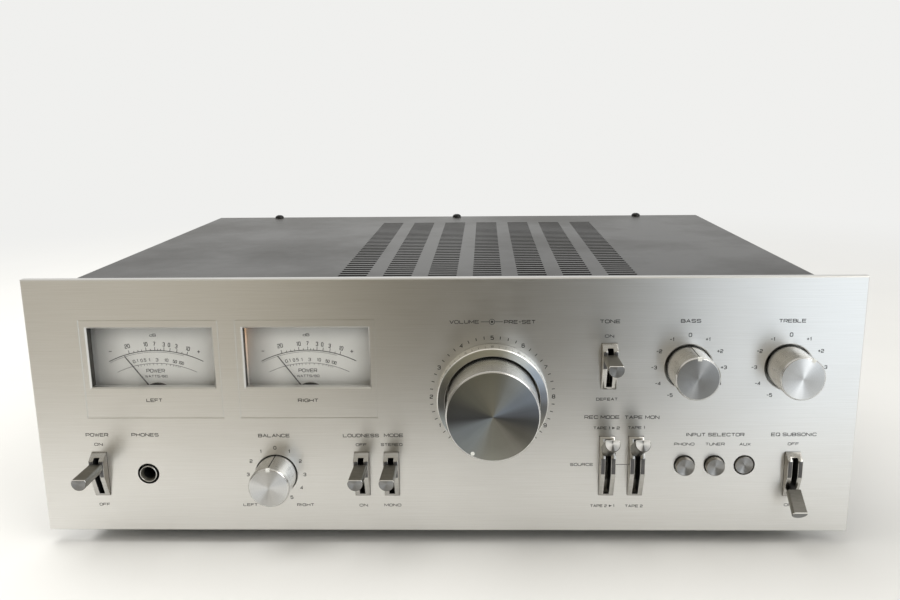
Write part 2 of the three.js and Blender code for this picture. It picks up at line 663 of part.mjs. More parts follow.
// Lever about its own pivot, tip towards -Y: trunnion, hub, thin arm, then the D-section handle
function leverSolid(form, around) {
  const root = -around.reach - form.rootGap - lever.pivotDepth;
  const tip = -form.reach - lever.pivotDepth;
  const rise = form.axisRise;
  const handle = turned([[0, tip], [lever.tipRadius - lever.tipEdge, tip],
    [lever.tipRadius, tip + lever.tipEdge], [lever.rootRadius, root], [0, root]], smallSteps, 0, rise);
  const flatCut = block([-lever.tipRadius - overrun, lever.tipRadius + overrun],
    [tip - overrun, root + overrun], [rise + lever.flat, rise + lever.tipRadius + overrun]);
  const half = lever.armThick / 2;
  const armEnd = root - lever.armHalf;
  const arm = sideProfile([[0, -lever.armHalf], [armEnd, rise - lever.armHalf],
    [armEnd, rise + lever.flat - lever.tipEdge], [0, lever.armHalf]], -half, half);
  const hub = crossBar(lever.hubRadius, -half, half, tinySteps);
  const pins = crossBar(lever.pinRadius, -lever.pinReach, lever.pinReach, tinySteps);
  return joined([handle.subtract(flatCut), arm, hub, pins]);
}

// Housing: sloped above and below a flat face, with a slot for the arm and a flange behind the panel
function housingSolid(form) {
  const half = housing.width / 2;
  const flangeFront = panelBack;
  const flangeBack = subpanelFront - fitGap;
  const body = sideProfile([[flangeBack, form.bottom], [-housing.brim, form.bottom],
    [-form.reach, form.faceBottom], [-form.reach, form.faceTop], [-housing.brim, form.top],
    [flangeBack, form.top]], -half, half);
  const flange = block([-half - housing.flange, half + housing.flange], [flangeFront, flangeBack],
    [form.bottom - housing.flange, form.top + housing.flange]);
  const slot = block([-leverSlotHalf, leverSlotHalf], [-form.reach - overrun, flangeBack + overrun],
    [form.slotBottom, form.slotTop]);
  return body.add(flange).subtract(slot);
}

// Switch body behind the sub-panel: one or two lever slots, and bores for the trunnions
function switchSolid(places) {
  const side = lever.pinReach + leverSwitch.pinWall;
  const left = Math.min(...places.map((place) => place.across)) - side;
  const right = Math.max(...places.map((place) => place.across)) + side;
  const up = places[0].up;
  const body = block([left, right], [behindSubpanel, behindSubpanel + leverSwitch.depth],
    [up - leverSwitch.halfHeight, up + leverSwitch.halfHeight]);
  const hubRoom = lever.hubRadius + 2 * fitGap;
  const slots = places.map((place) => block(
    [place.across - leverSlotHalf, place.across + leverSlotHalf],
    [behindSubpanel - overrun, lever.pivotDepth + hubRoom],
    [up - leverSwitch.slotHalfHeight, up + leverSwitch.slotHalfHeight]));
  const bore = crossBar(lever.pinRadius + leverSwitch.pinGap, left - overrun, right + overrun, tinySteps,
    lever.pivotDepth, up);
  return without(body, [...slots, bore]);
}

function addLever(name, form, around, place, restAngle) {
  const mesh = addPiece(`${name}_lever`, leverSolid(form, around), 'knobSilver');
  mesh.position.set(place.across, lever.pivotDepth, place.up);
  mesh.rotation.x = radians(restAngle);
}

function addHousing(name, form, place) {
  placeOnPanel(addPiece(`${name}_lever_housing`, housingSolid(form), 'plated'), place);
}

const restTurns = { power: 0, loudness: 0, mode: 0, tone: 0, subsonic: twoWayTravelAngle,
  rec_mode: -threeWayTravelAngle, tape_monitor: -threeWayTravelAngle };
for (const [name, place] of Object.entries(twoWaySwitches)) {
  addLever(name, name === 'subsonic' ? shortLever : twoWayLever, twoWayHousing, place, restTurns[name]);
  addHousing(name, twoWayHousing, place);
}
for (const [name, place] of Object.entries(threeWaySwitches)) {
  addLever(name, threeWayLever, threeWayHousing, place, restTurns[name]);
  addHousing(name, threeWayHousing, place);
}
addPiece('power_switch', switchSolid([powerPlace]), 'blackPlastic');
addPiece('loudness_mode_switch', switchSolid([loudnessPlace, modePlace]), 'zincSteel');
addPiece('tone_switch', switchSolid([tonePlace]), 'zincSteel');
addPiece('tape_switch', switchSolid([recModePlace, tapeMonitorPlace]), 'zincSteel');
addPiece('subsonic_switch', switchSolid([subsonicPlace]), 'zincSteel');

// Input selector: the aux button rests pressed in

function buttonSolid() {
  const dishShare = 0.6;
  return turned([[0, -button.reach + button.dish],
    [button.radius * dishShare, -button.reach + button.dish * dishShare],
    [button.radius - button.edge, -button.reach], [button.radius, -button.reach + button.edge],
    [button.radius, button.back], [button.stemRadius, button.back], [button.stemRadius, buttonStemEnd],
    [0, buttonStemEnd]], smallSteps);
}

const pressedIn = { phono: 0, tuner: 0, aux: button.travel };
for (const [name, place] of Object.entries(buttons)) {
  const mesh = addPiece(`${name}_button`, buttonSolid(), 'knobSilver');
  mesh.position.set(place.across, pressedIn[name], place.up);
}

function selectorSwitch() {
  const body = block([phonoPlace.across - selector.sideMargin, auxPlace.across + selector.sideMargin],
    [behindSubpanel, behindSubpanel + selector.depth],
    [phonoPlace.up - selector.halfHeight, phonoPlace.up + selector.halfHeight]);
  const boreEnd = buttonStemEnd + button.travel + fitGap;
  const bores = Object.values(buttons).map((place) => roundBar(button.stemRadius + fitGap,
    behindSubpanel - overrun, boreEnd, smallSteps, place.across, place.up));
  return without(body, bores);
}

addPiece('selector_switch', selectorSwitch(), 'zincSteel');

// Phones jack: plated bush through panel and sub-panel, plastic body behind

function phonesJackSolid() {
  const size = phonesJack;
  const mouth = size.boreRadius + size.mouthBevel;
  const mouthEnd = -size.reach + size.mouthBevel;
  const bodyMiddle = behindSubpanel + size.depth / 2;
  const bush = turned([[size.boreRadius, mouthEnd], [mouth, -size.reach], [size.bushRadius, -size.reach],
    [size.bushRadius, bodyMiddle], [0, bodyMiddle], [0, behindSubpanel], [size.boreRadius, behindSubpanel],
    [size.boreRadius, mouthEnd]], smallSteps);
  const body = block([-size.bodyHalf, size.bodyHalf], [behindSubpanel, behindSubpanel + size.depth],
    [-size.bodyHalf, size.bodyHalf]);
  const bore = roundBar(size.boreRadius, behindSubpanel - fitGap, behindSubpanel + size.boreGrip, smallSteps);
  return bush.add(body).subtract(bore);
}

placeOnPanel(addPiece('phones_jack', phonesJackSolid(), 'plated'), phonesPlace);

// Power meters

const lampPlace = {
  across: (leftMeterPlace.across + rightMeterPlace.across) / 2,
  up: leftMeterPlace.up + meterLamp.rise,
};

// Recess for window and dial, with a pocket round the needle's hub and a bore for its staff
function meterCavityCut(place) {
  const pivotUp = place.up - meterPivot.drop;
  const recess = block([place.across - cavityHalf, place.across + cavityHalf],
    [panelBack - overrun, dialDepth], [place.up + cavityBottom, place.up + cavityTop]);
  const pocket = block([place.across - meterPivot.pocketHalf, place.across + meterPivot.pocketHalf],
    [pivotCoverBack, dialDepth], [pivotUp - meterPivot.pocketBelow, place.up]);
  const staffBore = roundBar(needle.staffRadius + needle.staffGap, dialDepth - fitGap,
    needleStaffEnd + fitGap, tinySteps, place.across, pivotUp);
  return joined([recess, pocket, staffBore]);
}

function meterHousingSolid() {
  const back = panelBack + meterHousing.depth;
  const body = block([meterHousingLeft, meterHousingRight], [panelBack, back],
    [meterHousingBottom, meterHousingTop]);
  const lampHole = roundBar(meterLamp.radius + meterLamp.boreGap, glassBack, back + overrun, smallSteps,
    lampPlace.across, lampPlace.up);
  const lightSlot = block(
    [leftMeterPlace.across + cavityHalf - fitGap, rightMeterPlace.across - cavityHalf + fitGap],
    [glassBack, dialDepth], [lampPlace.up - meterLamp.slotHalf, lampPlace.up + meterLamp.slotHalf]);
  const hollow = without(body,
    [meterCavityCut(leftMeterPlace), meterCavityCut(rightMeterPlace), lampHole, lightSlot]);
  const pivotCovers = [leftMeterPlace, rightMeterPlace].map((place) => roundBar(meterPivot.coverRadius,
    pivotCoverFront, pivotCoverBack, roundSteps, place.across, place.up - meterPivot.drop));
  return joined([hollow, ...pivotCovers]);
}

addPiece('meter_housing', meterHousingSolid(), 'dialGrey');

function meterGlassSolid(place) {
  const half = cavityHalf - fitGap;
  return block([place.across - half, place.across + half], [panelBack, glassBack],
    [place.up + cavityBottom + fitGap, place.up + cavityTop - fitGap]);
}

addPiece('left_meter_window', meterGlassSolid(leftMeterPlace), 'clear');
addPiece('right_meter_window', meterGlassSolid(rightMeterPlace), 'clear');

function needleSolid() {
  const pointer = new THREE.Shape([
    new THREE.Vector2(-needle.width / 2, -needle.tail), new THREE.Vector2(needle.width / 2, -needle.tail),
    new THREE.Vector2(needle.tipWidth / 2, needle.length),
    new THREE.Vector2(-needle.tipWidth / 2, needle.length)]);
  const bladeFront = needleHubFront + needle.step;
  const blade = frontProfile(pointer, bladeFront, bladeFront + needle.thick);
  const hub = roundBar(needle.hubRadius, needleHubFront, needleHubFront + needle.hubThick, tinySteps);
  const staff = roundBar(needle.staffRadius, needleHubFront, needleStaffEnd, tinySteps);
  return joined([blade, hub, staff]);
}

for (const [name, place] of [['left_needle', leftMeterPlace], ['right_needle', rightMeterPlace]]) {
  const pivot = { across: place.across, up: place.up - meterPivot.drop };
  placeOnPanel(addPiece(name, needleSolid(), 'blackPlastic'), pivot, needleRestAngle);
}

const lampTipShare = 0.5;
const lampFront = glassBack + fitGap;
const lampTip = meterLamp.radius * lampTipShare;
addPiece('meter_lamp', turned([[0, lampFront], [lampTip, lampFront], [meterLamp.radius, lampFront + lampTip],
  [meterLamp.radius, lampFront + meterLamp.length], [0, lampFront + meterLamp.length]],
tinySteps, lampPlace.across, lampPlace.up), 'lampGlow');

// Power supply, heat sink and boards

function centredBlock(across, width, depth, length, bottom, top) {
  return block([across - width / 2, across + width / 2], [depth - length / 2, depth + length / 2],
    [bottom, top]);
}

function transformerSolid() {
  const size = transformer;
  const bellBottom = onChassis + (size.coreHeight - size.bellHeight) / 2;
  return joined([
    centredBlock(transformerAcross, size.plateWidth, size.depthMiddle, size.plateDepth, onChassis,
      onChassis + size.plateThick),
    centredBlock(transformerAcross, size.coreWidth, size.depthMiddle, size.coreDepth, onChassis,
      onChassis + size.coreHeight),
    centredBlock(transformerAcross, size.bellWidth, size.depthMiddle, size.bellDepth, bellBottom,
      bellBottom + size.bellHeight),
  ]);
}

addPiece('power_transformer', transformerSolid(), 'blackSteel');

function heatSinkSolid() {
  const size = heatSinkSize;
  const top = onChassis + size.height;
  const left = mainBoard.left + size.boardInset;
  const baseBack = sinkFront + size.baseDepth;
  const base = block([left, left + size.width], [sinkFront, baseBack], [onChassis, top]);
  const pitch = (size.width - size.finThick) / (finCount - 1);
  const fins = Array.from({ length: finCount }, (_, i) => block(
    [left + i * pitch, left + i * pitch + size.finThick],
    [sinkFront + size.baseDepth / 2, baseBack + size.finDepth], [onChassis, top]));
  return joined([base, ...fins]);
}

addPiece('heat_sink', heatSinkSolid(), 'sinkAluminium');

function boardSolid(size) {
  return block([size.left, size.right], [size.front, size.rear], [boardBottom, boardBottom + board.thick]);
}

addPiece('main_board', boardSolid(mainBoard), 'boardBrown');
addPiece('preamp_board', boardSolid(preampBoard), 'boardBrown');

const leftCapacitorAcross = mainBoard.left + capacitor.boardInset;
const capacitorPitch = 2 * capacitor.radius + capacitor.spacing;
for (const [name, across] of [['left_capacitor', leftCapacitorAcross],
  ['right_capacitor', leftCapacitorAcross + capacitorPitch]]) {
  const top = onBoard + capacitor.height;
  addPiece(name, turnedUpright([[0, onBoard], [capacitor.radius, onBoard],
    [capacitor.radius, top - capacitor.edge], [capacitor.radius - capacitor.edge, top], [0, top]],
  smallSteps, across, (mainBoard.front + mainBoard.rear) / 2), 'sleeveBlue');
}

// Rear connections

function gridPlaces(plate, inset, columnCount, rowCount) {
  const places = [];
  for (let column = 0; column < columnCount; column += 1) {
    for (let row = 0; row < rowCount; row += 1) {
      const acrossShare = columnCount > 1 ? column / (columnCount - 1) : 0;
      const upShare = rowCount > 1 ? row / (rowCount - 1) : 0;
      places.push({
        across: plate.left + inset + acrossShare * (plate.right - plate.left - 2 * inset),
        up: plate.bottom + inset + upShare * (plate.top - plate.bottom - 2 * inset),
      });
    }
  }
  return places;
}

function inputJacks() {
  const face = onRearPanel + jackPlate.thick;
  const end = face + jack.reach;
  const plate = block([jackPlate.left, jackPlate.right], [onRearPanel, face],
    [jackPlate.bottom, jackPlate.top]);
  const sockets = gridPlaces(jackPlate, jack.rowInset, jackColumnCount, jackRowCount).map((place) => turned(
    [[0, face - jackPlate.thick / 2], [jack.radius, face - jackPlate.thick / 2], [jack.radius, end],
      [jack.boreRadius, end], [jack.boreRadius, end - jack.boreDepth], [0, end - jack.boreDepth]],
    tinySteps, place.across, place.up));
  return joined([plate, ...sockets]);
}

addPiece('input_jacks', inputJacks(), 'whitePlastic');

function speakerTerminals() {
  const face = onRearPanel + terminalPlate.thick;
  const end = face + terminal.reach;
  const plate = block([terminalPlate.left, terminalPlate.right], [onRearPanel, face],
    [terminalPlate.bottom, terminalPlate.top]);
  const posts = gridPlaces(terminalPlate, terminal.rowInset, terminalColumnCount, terminalRowCount).map(
    (place) => turned([[0, face - terminalPlate.thick / 2],
      [terminal.neckRadius, face - terminalPlate.thick / 2], [terminal.neckRadius, face + terminal.neck],
      [terminal.radius, face + terminal.neck], [terminal.radius, end], [0, end]],
    tinySteps, place.across, place.up));
  return joined([plate, ...posts]);
}

addPiece('speaker_terminals', speakerTerminals(), 'blackPlastic');

// Cord gland: a bushing snapped into the rear panel, empty because no cord is fitted
function glandSolid() {
  const inner = rearPanelFront - gland.inner;
  const outer = onRearPanel + gland.reach;
  const catchFront = rearPanelFront - fitGap;
  return turned([[gland.boreRadius, outer], [gland.boreRadius, inner], [glandBody, inner],
    [glandBody + gland.catch, catchFront], [glandBody, catchFront], [glandBody, onRearPanel],
    [glandBody + gland.flange, onRearPanel], [glandBody + gland.flange, onRearPanel + gland.flangeThick],
    [glandBody, outer], [gland.boreRadius, outer]], smallSteps, glandAcross, gland.up);
}

addPiece('mains_gland', glandSolid(), 'blackPlastic');

export default amplifier;
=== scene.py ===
import math

import bmesh
import bpy
import numpy as np
from mathutils import Matrix, Vector


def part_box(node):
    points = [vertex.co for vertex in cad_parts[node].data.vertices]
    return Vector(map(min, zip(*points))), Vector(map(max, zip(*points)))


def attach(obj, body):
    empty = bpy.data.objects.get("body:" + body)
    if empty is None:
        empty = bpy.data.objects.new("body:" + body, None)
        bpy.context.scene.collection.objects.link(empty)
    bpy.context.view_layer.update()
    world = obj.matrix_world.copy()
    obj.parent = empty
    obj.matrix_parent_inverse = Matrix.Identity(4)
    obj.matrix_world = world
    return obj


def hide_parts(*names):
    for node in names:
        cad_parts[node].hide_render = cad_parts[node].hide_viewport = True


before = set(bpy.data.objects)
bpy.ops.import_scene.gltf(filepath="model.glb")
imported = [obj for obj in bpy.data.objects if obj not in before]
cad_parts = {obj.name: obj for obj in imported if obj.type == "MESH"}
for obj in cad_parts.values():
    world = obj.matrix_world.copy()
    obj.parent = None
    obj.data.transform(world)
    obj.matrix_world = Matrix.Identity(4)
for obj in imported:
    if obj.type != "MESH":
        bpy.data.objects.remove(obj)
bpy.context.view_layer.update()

# The front panel's lower front edge is where every place on the amplifier is counted from.
# Across runs right from the panel's middle, depth runs back from its face, up from its edge.
panel_face, panel_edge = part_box("front_panel")[0][1:]


def at(across, depth, up):
    """A place in millimetres in the panel's frame, as metres in the part's frame."""
    return Vector((across / 1000, panel_face + depth / 1000, panel_edge + up / 1000))


# Camera: a little right of the volume knob, at a standing listener's eye, looking down twelve degrees.
# Its height, distance and lens come from the panel's corners and number rings in the photograph.
def put(name, data):
    thing = bpy.data.objects.new(name, data)
    bpy.context.scene.collection.objects.link(thing)
    return thing


eye = at(23.8, -419.9, 233.15)
yaw, pitch, roll = (math.radians(angle) for angle in (-1.226, 11.737, -0.52))
ahead = Vector((math.sin(yaw) * math.cos(pitch), math.cos(yaw) * math.cos(pitch), -math.sin(pitch)))
level = Vector((math.cos(yaw), -math.sin(yaw), 0))
above = level.cross(ahead)
camera_right = level * math.cos(roll) + above * math.sin(roll)
camera_up = above * math.cos(roll) - level * math.sin(roll)
lens = bpy.data.cameras.new("camera")
lens.sensor_width, lens.lens, lens.clip_start = 36, 32.53, 0.01
lens.shift_x, lens.shift_y = -0.01997, -0.02519
camera = put("camera", lens)
camera.matrix_world = Matrix.Translation(eye) @ Matrix((camera_right, camera_up, -ahead)).transposed().to_4x4()
bpy.context.scene.camera = camera

# Studio: a pale floor under a pale surround that is lighter on the right, as beside a window.
# The surround that metal mirrors is dim straight ahead, where the camera stands.
bpy.context.scene.view_settings.view_transform = "Standard"


def new_finish(name):
    finish = bpy.data.materials.new(name)
    finish.use_nodes = True
    tree = finish.node_tree
    tree.nodes.clear()
    surface = tree.nodes.new("ShaderNodeBsdfPrincipled")
    tree.links.new(surface.outputs[0], tree.nodes.new("ShaderNodeOutputMaterial").inputs[0])
    return finish, tree, surface


def plug(socket, value):
    """Sets an input, by a link where the value comes from another node."""
    if isinstance(value, bpy.types.NodeSocket):
        socket.id_data.links.new(value, socket)
    else:
        socket.default_value = value


def feed(surface, **values):
    for title, value in values.items():
        plug(surface.inputs[title.replace("_", " ")], value)


def add_node(tree, kind, inputs=None, **settings):
    """Inputs go by name or number; settings are the node's own, or plain values of its inputs."""
    node = tree.nodes.new(kind if "Node" in kind else "ShaderNode" + kind)
    for key, value in settings.items():
        if key in node.inputs:
            node.inputs[key].default_value = value
        else:
            setattr(node, key, value)
    for key, value in (inputs or {}).items():
        plug(node.inputs[key], value)
    return node


def calculate(tree, operation, *values):
    return add_node(tree, "Math", dict(enumerate(values)), operation=operation).outputs[0]


def times(tree, first, *others):
    for other in others:
        first = calculate(tree, "MULTIPLY", first, other)
    return first


def steer(tree, operation, vector, other=None):
    """Arithmetic on a vector; LENGTH gives a value and SCALE takes one."""
    inputs = {0: vector}
    if other is not None:
        inputs[3 if operation == "SCALE" else 1] = other
    return add_node(tree, "VectorMath", inputs, operation=operation).outputs[1 if operation == "LENGTH" else 0]


def where(tree, output="Object"):
    return add_node(tree, "TexCoord").outputs[output]


def split(tree, vector):
    return add_node(tree, "SeparateXYZ", {"Vector": vector}).outputs


def rescale(tree, value, start, end, low=0.0, high=1.0, smooth=False):
    limits = {"Value": value, "From Min": start, "From Max": end, "To Min": low, "To Max": high}
    return add_node(tree, "MapRange", limits, interpolation_type="SMOOTHSTEP" if smooth else "LINEAR").outputs[0]


def blend_tones(tree, mask, first, second, **settings):
    mix = add_node(tree, "Mix", {"Factor": mask}, data_type="RGBA", **settings)
    for place, tone in ((6, first), (7, second)):
        plug(mix.inputs[place], (*tone, 1) if isinstance(tone, tuple) else tone)
    return mix.outputs[2]


def tone_wheel(tree, side, front, stops, blending):
    """A tone for each bearing, from stops of (degrees from the front, tone)."""
    turned = calculate(tree, "MULTIPLY_ADD", calculate(tree, "ARCTAN2", side, front), 0.5 / math.pi, 0.5)
    wheel = add_node(tree, "ValToRGB", {"Fac": turned})
    stops_made = wheel.color_ramp.elements
    wheel.color_ramp.interpolation = blending
    for degrees, tone in stops:
        stops_made.new(0.5 + degrees / 360).color = (*tone, 1)
    stops_made.remove(stops_made[0])
    stops_made.remove(stops_made[-1])
    return wheel.outputs[0]


def mesh_of(points, faces):
    mesh = bpy.data.meshes.new("made")
    mesh.from_pydata([tuple(point) for point in points], [], faces)
    return mesh


def show(name, mesh, *finishes):
    mesh.name = name
    for finish in finishes:
        mesh.materials.append(finish)
    return put(name, mesh)


floor_finish, tree, surface = new_finish("floor_cloth")
spot = where(tree)
places = split(tree, spot)
cloth = add_node(tree, "TexNoise", {"Vector": spot}, Scale=9.0, Detail=4.0).outputs["Fac"]
# The cloth is painted darker towards the right: a painted shade across the floor.
right = rescale(tree, places["X"], 0.0, 0.4, 1.0, 0.84, smooth=True)
shade = times(tree, rescale(tree, cloth, 0.0, 1.0, 0.96, 1.03), right)
feed(surface, Base_Color=blend_tones(tree, shade, (0, 0, 0), (0.80, 0.80, 0.79), clamp_factor=False), Roughness=0.85)
backdrop_tone = (0.87, 0.87, 0.855, 1)
rays = add_node(tree, "LightPath").outputs
far = rescale(tree, steer(tree, "LENGTH", spot), 0.35, 1.5, smooth=True)
mirrored = calculate(tree, "MAXIMUM", rays["Is Transmission Ray"], rays["Is Glossy Ray"])
seen = calculate(tree, "MAXIMUM", rays["Is Camera Ray"], mirrored)
backdrop = add_node(tree, "Emission", Color=backdrop_tone)
blend = add_node(tree, "MixShader", {0: times(tree, far, seen), 1: surface.outputs[0], 2: backdrop.outputs[0]})
in_front = rescale(tree, places["Y"], -0.25, -0.34)
ended = add_node(tree, "MixShader", {0: times(tree, in_front, rays["Is Glossy Ray"]), 1: blend.outputs[0],
                                     2: add_node(tree, "BsdfTransparent").outputs[0]})
plug(tree.get_output_node("ALL").inputs[0], ended.outputs[0])
floor_finish.cycles.emission_sampling = "NONE"
floor = show("floor", mesh_of([(-6, -6, 0), (6, -6, 0), (6, 6, 0), (-6, 6, 0)], [(0, 1, 2, 3)]), floor_finish)

world = bpy.data.worlds.new("studio")
world.use_nodes = True
bpy.context.scene.world = world
tree = world.node_tree
tree.nodes.clear()
rays = add_node(tree, "LightPath").outputs
way = split(tree, where(tree, "Generated"))
room_stops = ((-180, (0.90, 0.90, 0.885)), (-125, (0.70, 0.69, 0.67)), (-95, (0.22, 0.21, 0.19)),
              (-50, (0.24, 0.225, 0.19)), (-30, (0.62, 0.58, 0.50)), (-17, (0.52, 0.475, 0.385)),
              (-9, (0.19, 0.165, 0.115)), (-3, (0.075, 0.064, 0.043)), (9, (0.06, 0.053, 0.038)),
              (14.5, (0.12, 0.112, 0.098)), (17, (1.20, 1.29, 1.37)), (38, (1.20, 1.29, 1.37)),
              (55, (0.60, 0.61, 0.61)), (120, (0.76, 0.76, 0.75)))
surround = tone_wheel(tree, way["X"], times(tree, way["Y"], -1.0), room_stops, "LINEAR")
overhead = rescale(tree, way["Z"], 0.30, 0.60, smooth=True)
room_above = blend_tones(tree, rescale(tree, way["Y"], -0.35, 0.35), (0.56, 0.53, 0.46), (0.86, 0.86, 0.845))
mirrored = blend_tones(tree, overhead, surround, room_above)
mirror_light = add_node(tree, "Background", {"Color": mirrored}, Strength=1.0)
seen_light = add_node(tree, "Background", Color=backdrop_tone, Strength=1.0)
seen = calculate(tree, "MAXIMUM", rays["Is Camera Ray"], rays["Is Transmission Ray"])
whole = add_node(tree, "MixShader", {0: seen, 1: mirror_light.outputs[0], 2: seen_light.outputs[0]})
add_node(tree, "OutputWorld", {"Surface": whole.outputs[0]})

for name, place, target, size, power, tone, glossy in (
        ("window_lamp", (1.5, -1.1, 1.5), (0.05, 0, 0.08), 1.4, 16, (1.0, 0.99, 0.97), True),
        ("ceiling_lamp", (-0.7, 0.1, 2.0), (0, 0, 0.1), 1.8, 33, (1.0, 0.985, 0.955), False)):
    lamp = bpy.data.lights.new(name, "AREA")
    lamp.shape = "RECTANGLE"
    lamp.size, lamp.size_y, lamp.energy, lamp.color = size, size, power, tone
    holder = put(name, lamp)
    holder.location = place
    holder.rotation_euler = (Vector(target) - Vector(place)).to_track_quat("-Z", "Y").to_euler()
    holder.visible_glossy = glossy


# Front panel: a thick aluminium plate, brushed from end to end and clear anodised.
# It carries every control, so its openings and fine frames are cut in the solid itself.
def new_tree(name, kind, inputs, output):
    """A node group with named inputs of (name, kind, value if any) and one output."""
    group = bpy.data.node_groups.new(name, kind)
    for title, socket_kind, *value in inputs:
        socket = group.interface.new_socket(name=title, in_out="INPUT", socket_type="NodeSocket" + socket_kind)
        if value:
            socket.default_value = value[0]
    group.interface.new_socket(name=output[0], in_out="OUTPUT", socket_type="NodeSocket" + output[1])
    return group, group.nodes.new("NodeGroupInput").outputs, group.nodes.new("NodeGroupOutput").inputs[0]


# Lines of brushing or turning: long in the vector's X, narrow in Y and Z, from 0 to 1
fine_lines, given, result = new_tree(
    "fine_lines", "ShaderNodeTree",
    [("Vector", "Vector"), ("Line Length", "Float", 0.04), ("Line Width", "Float", 0.0005)], ("Tone", "Float"))
narrow = calculate(fine_lines, "DIVIDE", 1.0, given["Line Width"])
along = calculate(fine_lines, "DIVIDE", 1.0, given["Line Length"])
pull = add_node(fine_lines, "CombineXYZ", {"X": along, "Y": narrow, "Z": narrow}).outputs[0]
line_noise = add_node(fine_lines, "TexNoise", {"Vector": steer(fine_lines, "MULTIPLY", given["Vector"], pull)},
                      Scale=1.0, Detail=3.0, Roughness=0.6)
plug(result, rescale(fine_lines, line_noise.outputs["Fac"], 0.3, 0.7))

# Faint uneven patches of handling and dust, from 0 to 1
patches, given, result = new_tree(
    "patches", "ShaderNodeTree",
    [("Vector", "Vector"), ("Patch Size", "Float", 0.03), ("Cover", "Float", 0.5)], ("Mask", "Float"))
patch_noise = add_node(patches, "TexNoise", {
    "Vector": given["Vector"], "Scale": calculate(patches, "DIVIDE", 1.0, given["Patch Size"])},
                       Detail=5.0, Roughness=0.62)
patch_start = calculate(patches, "SUBTRACT", 0.75, times(patches, given["Cover"], 0.5))
plug(result, rescale(patches, patch_noise.outputs["Fac"], patch_start, calculate(patches, "ADD", patch_start, 0.25)))


def use_group(tree, vector, group, *sizes):
    node = add_node(tree, "Group", node_tree=group)
    for socket, value in zip(node.inputs, (vector, *sizes)):
        plug(socket, value)
    return node.outputs[0]


def bump(tree, height, distance, strength):
    return add_node(tree, "Bump", {"Height": height}, Distance=distance, Strength=strength).outputs[0]


brushed, tree, surface = new_finish("brushed_front")
spot = where(tree)
lines = use_group(tree, spot, fine_lines, 0.03, 0.00022)
handled = use_group(tree, spot, patches, 0.09, 0.5)
plate_tone = blend_tones(tree, lines, (0.735, 0.725, 0.70), (0.80, 0.793, 0.775))
places = split(tree, spot)
facing_up = split(tree, where(tree, "Normal"))["Z"]
# The walls of the openings behind the face are painted dark as shade, and the meter windows' lower sill is made
# non-metallic so that it shows as a painted bright line.
bevel_depth, openings_reach, sill_height, sill_play = 0.0009, 0.222, 0.081, 0.004
behind_face = calculate(tree, "GREATER_THAN", places["Y"], panel_face + bevel_depth)
within = calculate(tree, "LESS_THAN", calculate(tree, "ABSOLUTE", places["X"]), openings_reach)
opening_walls_painted_shade = times(tree, behind_face, calculate(tree, "LESS_THAN", facing_up, 0.5), within)
from_sill = calculate(tree, "ABSOLUTE", calculate(tree, "SUBTRACT", places["Z"], panel_edge + sill_height))
sill_painted_highlight = times(tree, behind_face, calculate(tree, "GREATER_THAN", facing_up, 0.5),
             calculate(tree, "LESS_THAN", from_sill, sill_play))
rough = calculate(tree, "MULTIPLY_ADD", lines, 0.04, 0.31)
feed(surface, Base_Color=blend_tones(tree, opening_walls_painted_shade, plate_tone, (0.16, 0.15, 0.135)),
     Roughness=calculate(tree, "MULTIPLY_ADD", handled, 0.05, rough),
     Metallic=calculate(tree, "MULTIPLY_ADD", sill_painted_highlight, -0.85, 1.0), Anisotropic=0.66,
     Tangent=add_node(tree, "CombineXYZ", Z=1.0).outputs[0], Normal=bump(tree, lines, 0.000002, 0.3))


def finish_nodes(finish, *names):
    for name in names:
        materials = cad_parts[name].data.materials
        materials.clear()
        materials.append(finish)


finish_nodes(brushed, "front_panel")


# Panel lettering: thin extended capitals and figures, screened in dark grey ink.
# Each word is set to its measured width, and all of it is one film of ink on the plate.
def toned_finish(name, first, second, *pattern, grit=None, **values):
    """Two tones by a group's mask; a pair as Roughness follows it too; grit is a noise's scale and bump."""
    finish, tree, surface = new_finish(name)
    spot = where(tree)
    mask = use_group(tree, spot, *pattern)
    if isinstance(values["Roughness"], tuple):
        values["Roughness"] = calculate(tree, "MULTIPLY_ADD", mask, *values["Roughness"])
    if grit:
        noise = add_node(tree, "TexNoise", {"Vector": spot}, Scale=grit[0], Detail=2.0).outputs["Fac"]
        values["Normal"] = bump(tree, noise, *grit[1:])
    feed(surface, Base_Color=blend_tones(tree, mask, first, second), **values)
    return finish


ink = toned_finish("dark_ink", (0.016, 0.0155, 0.015), (0.03, 0.029, 0.027), patches, 0.002, 0.5, Roughness=0.55)

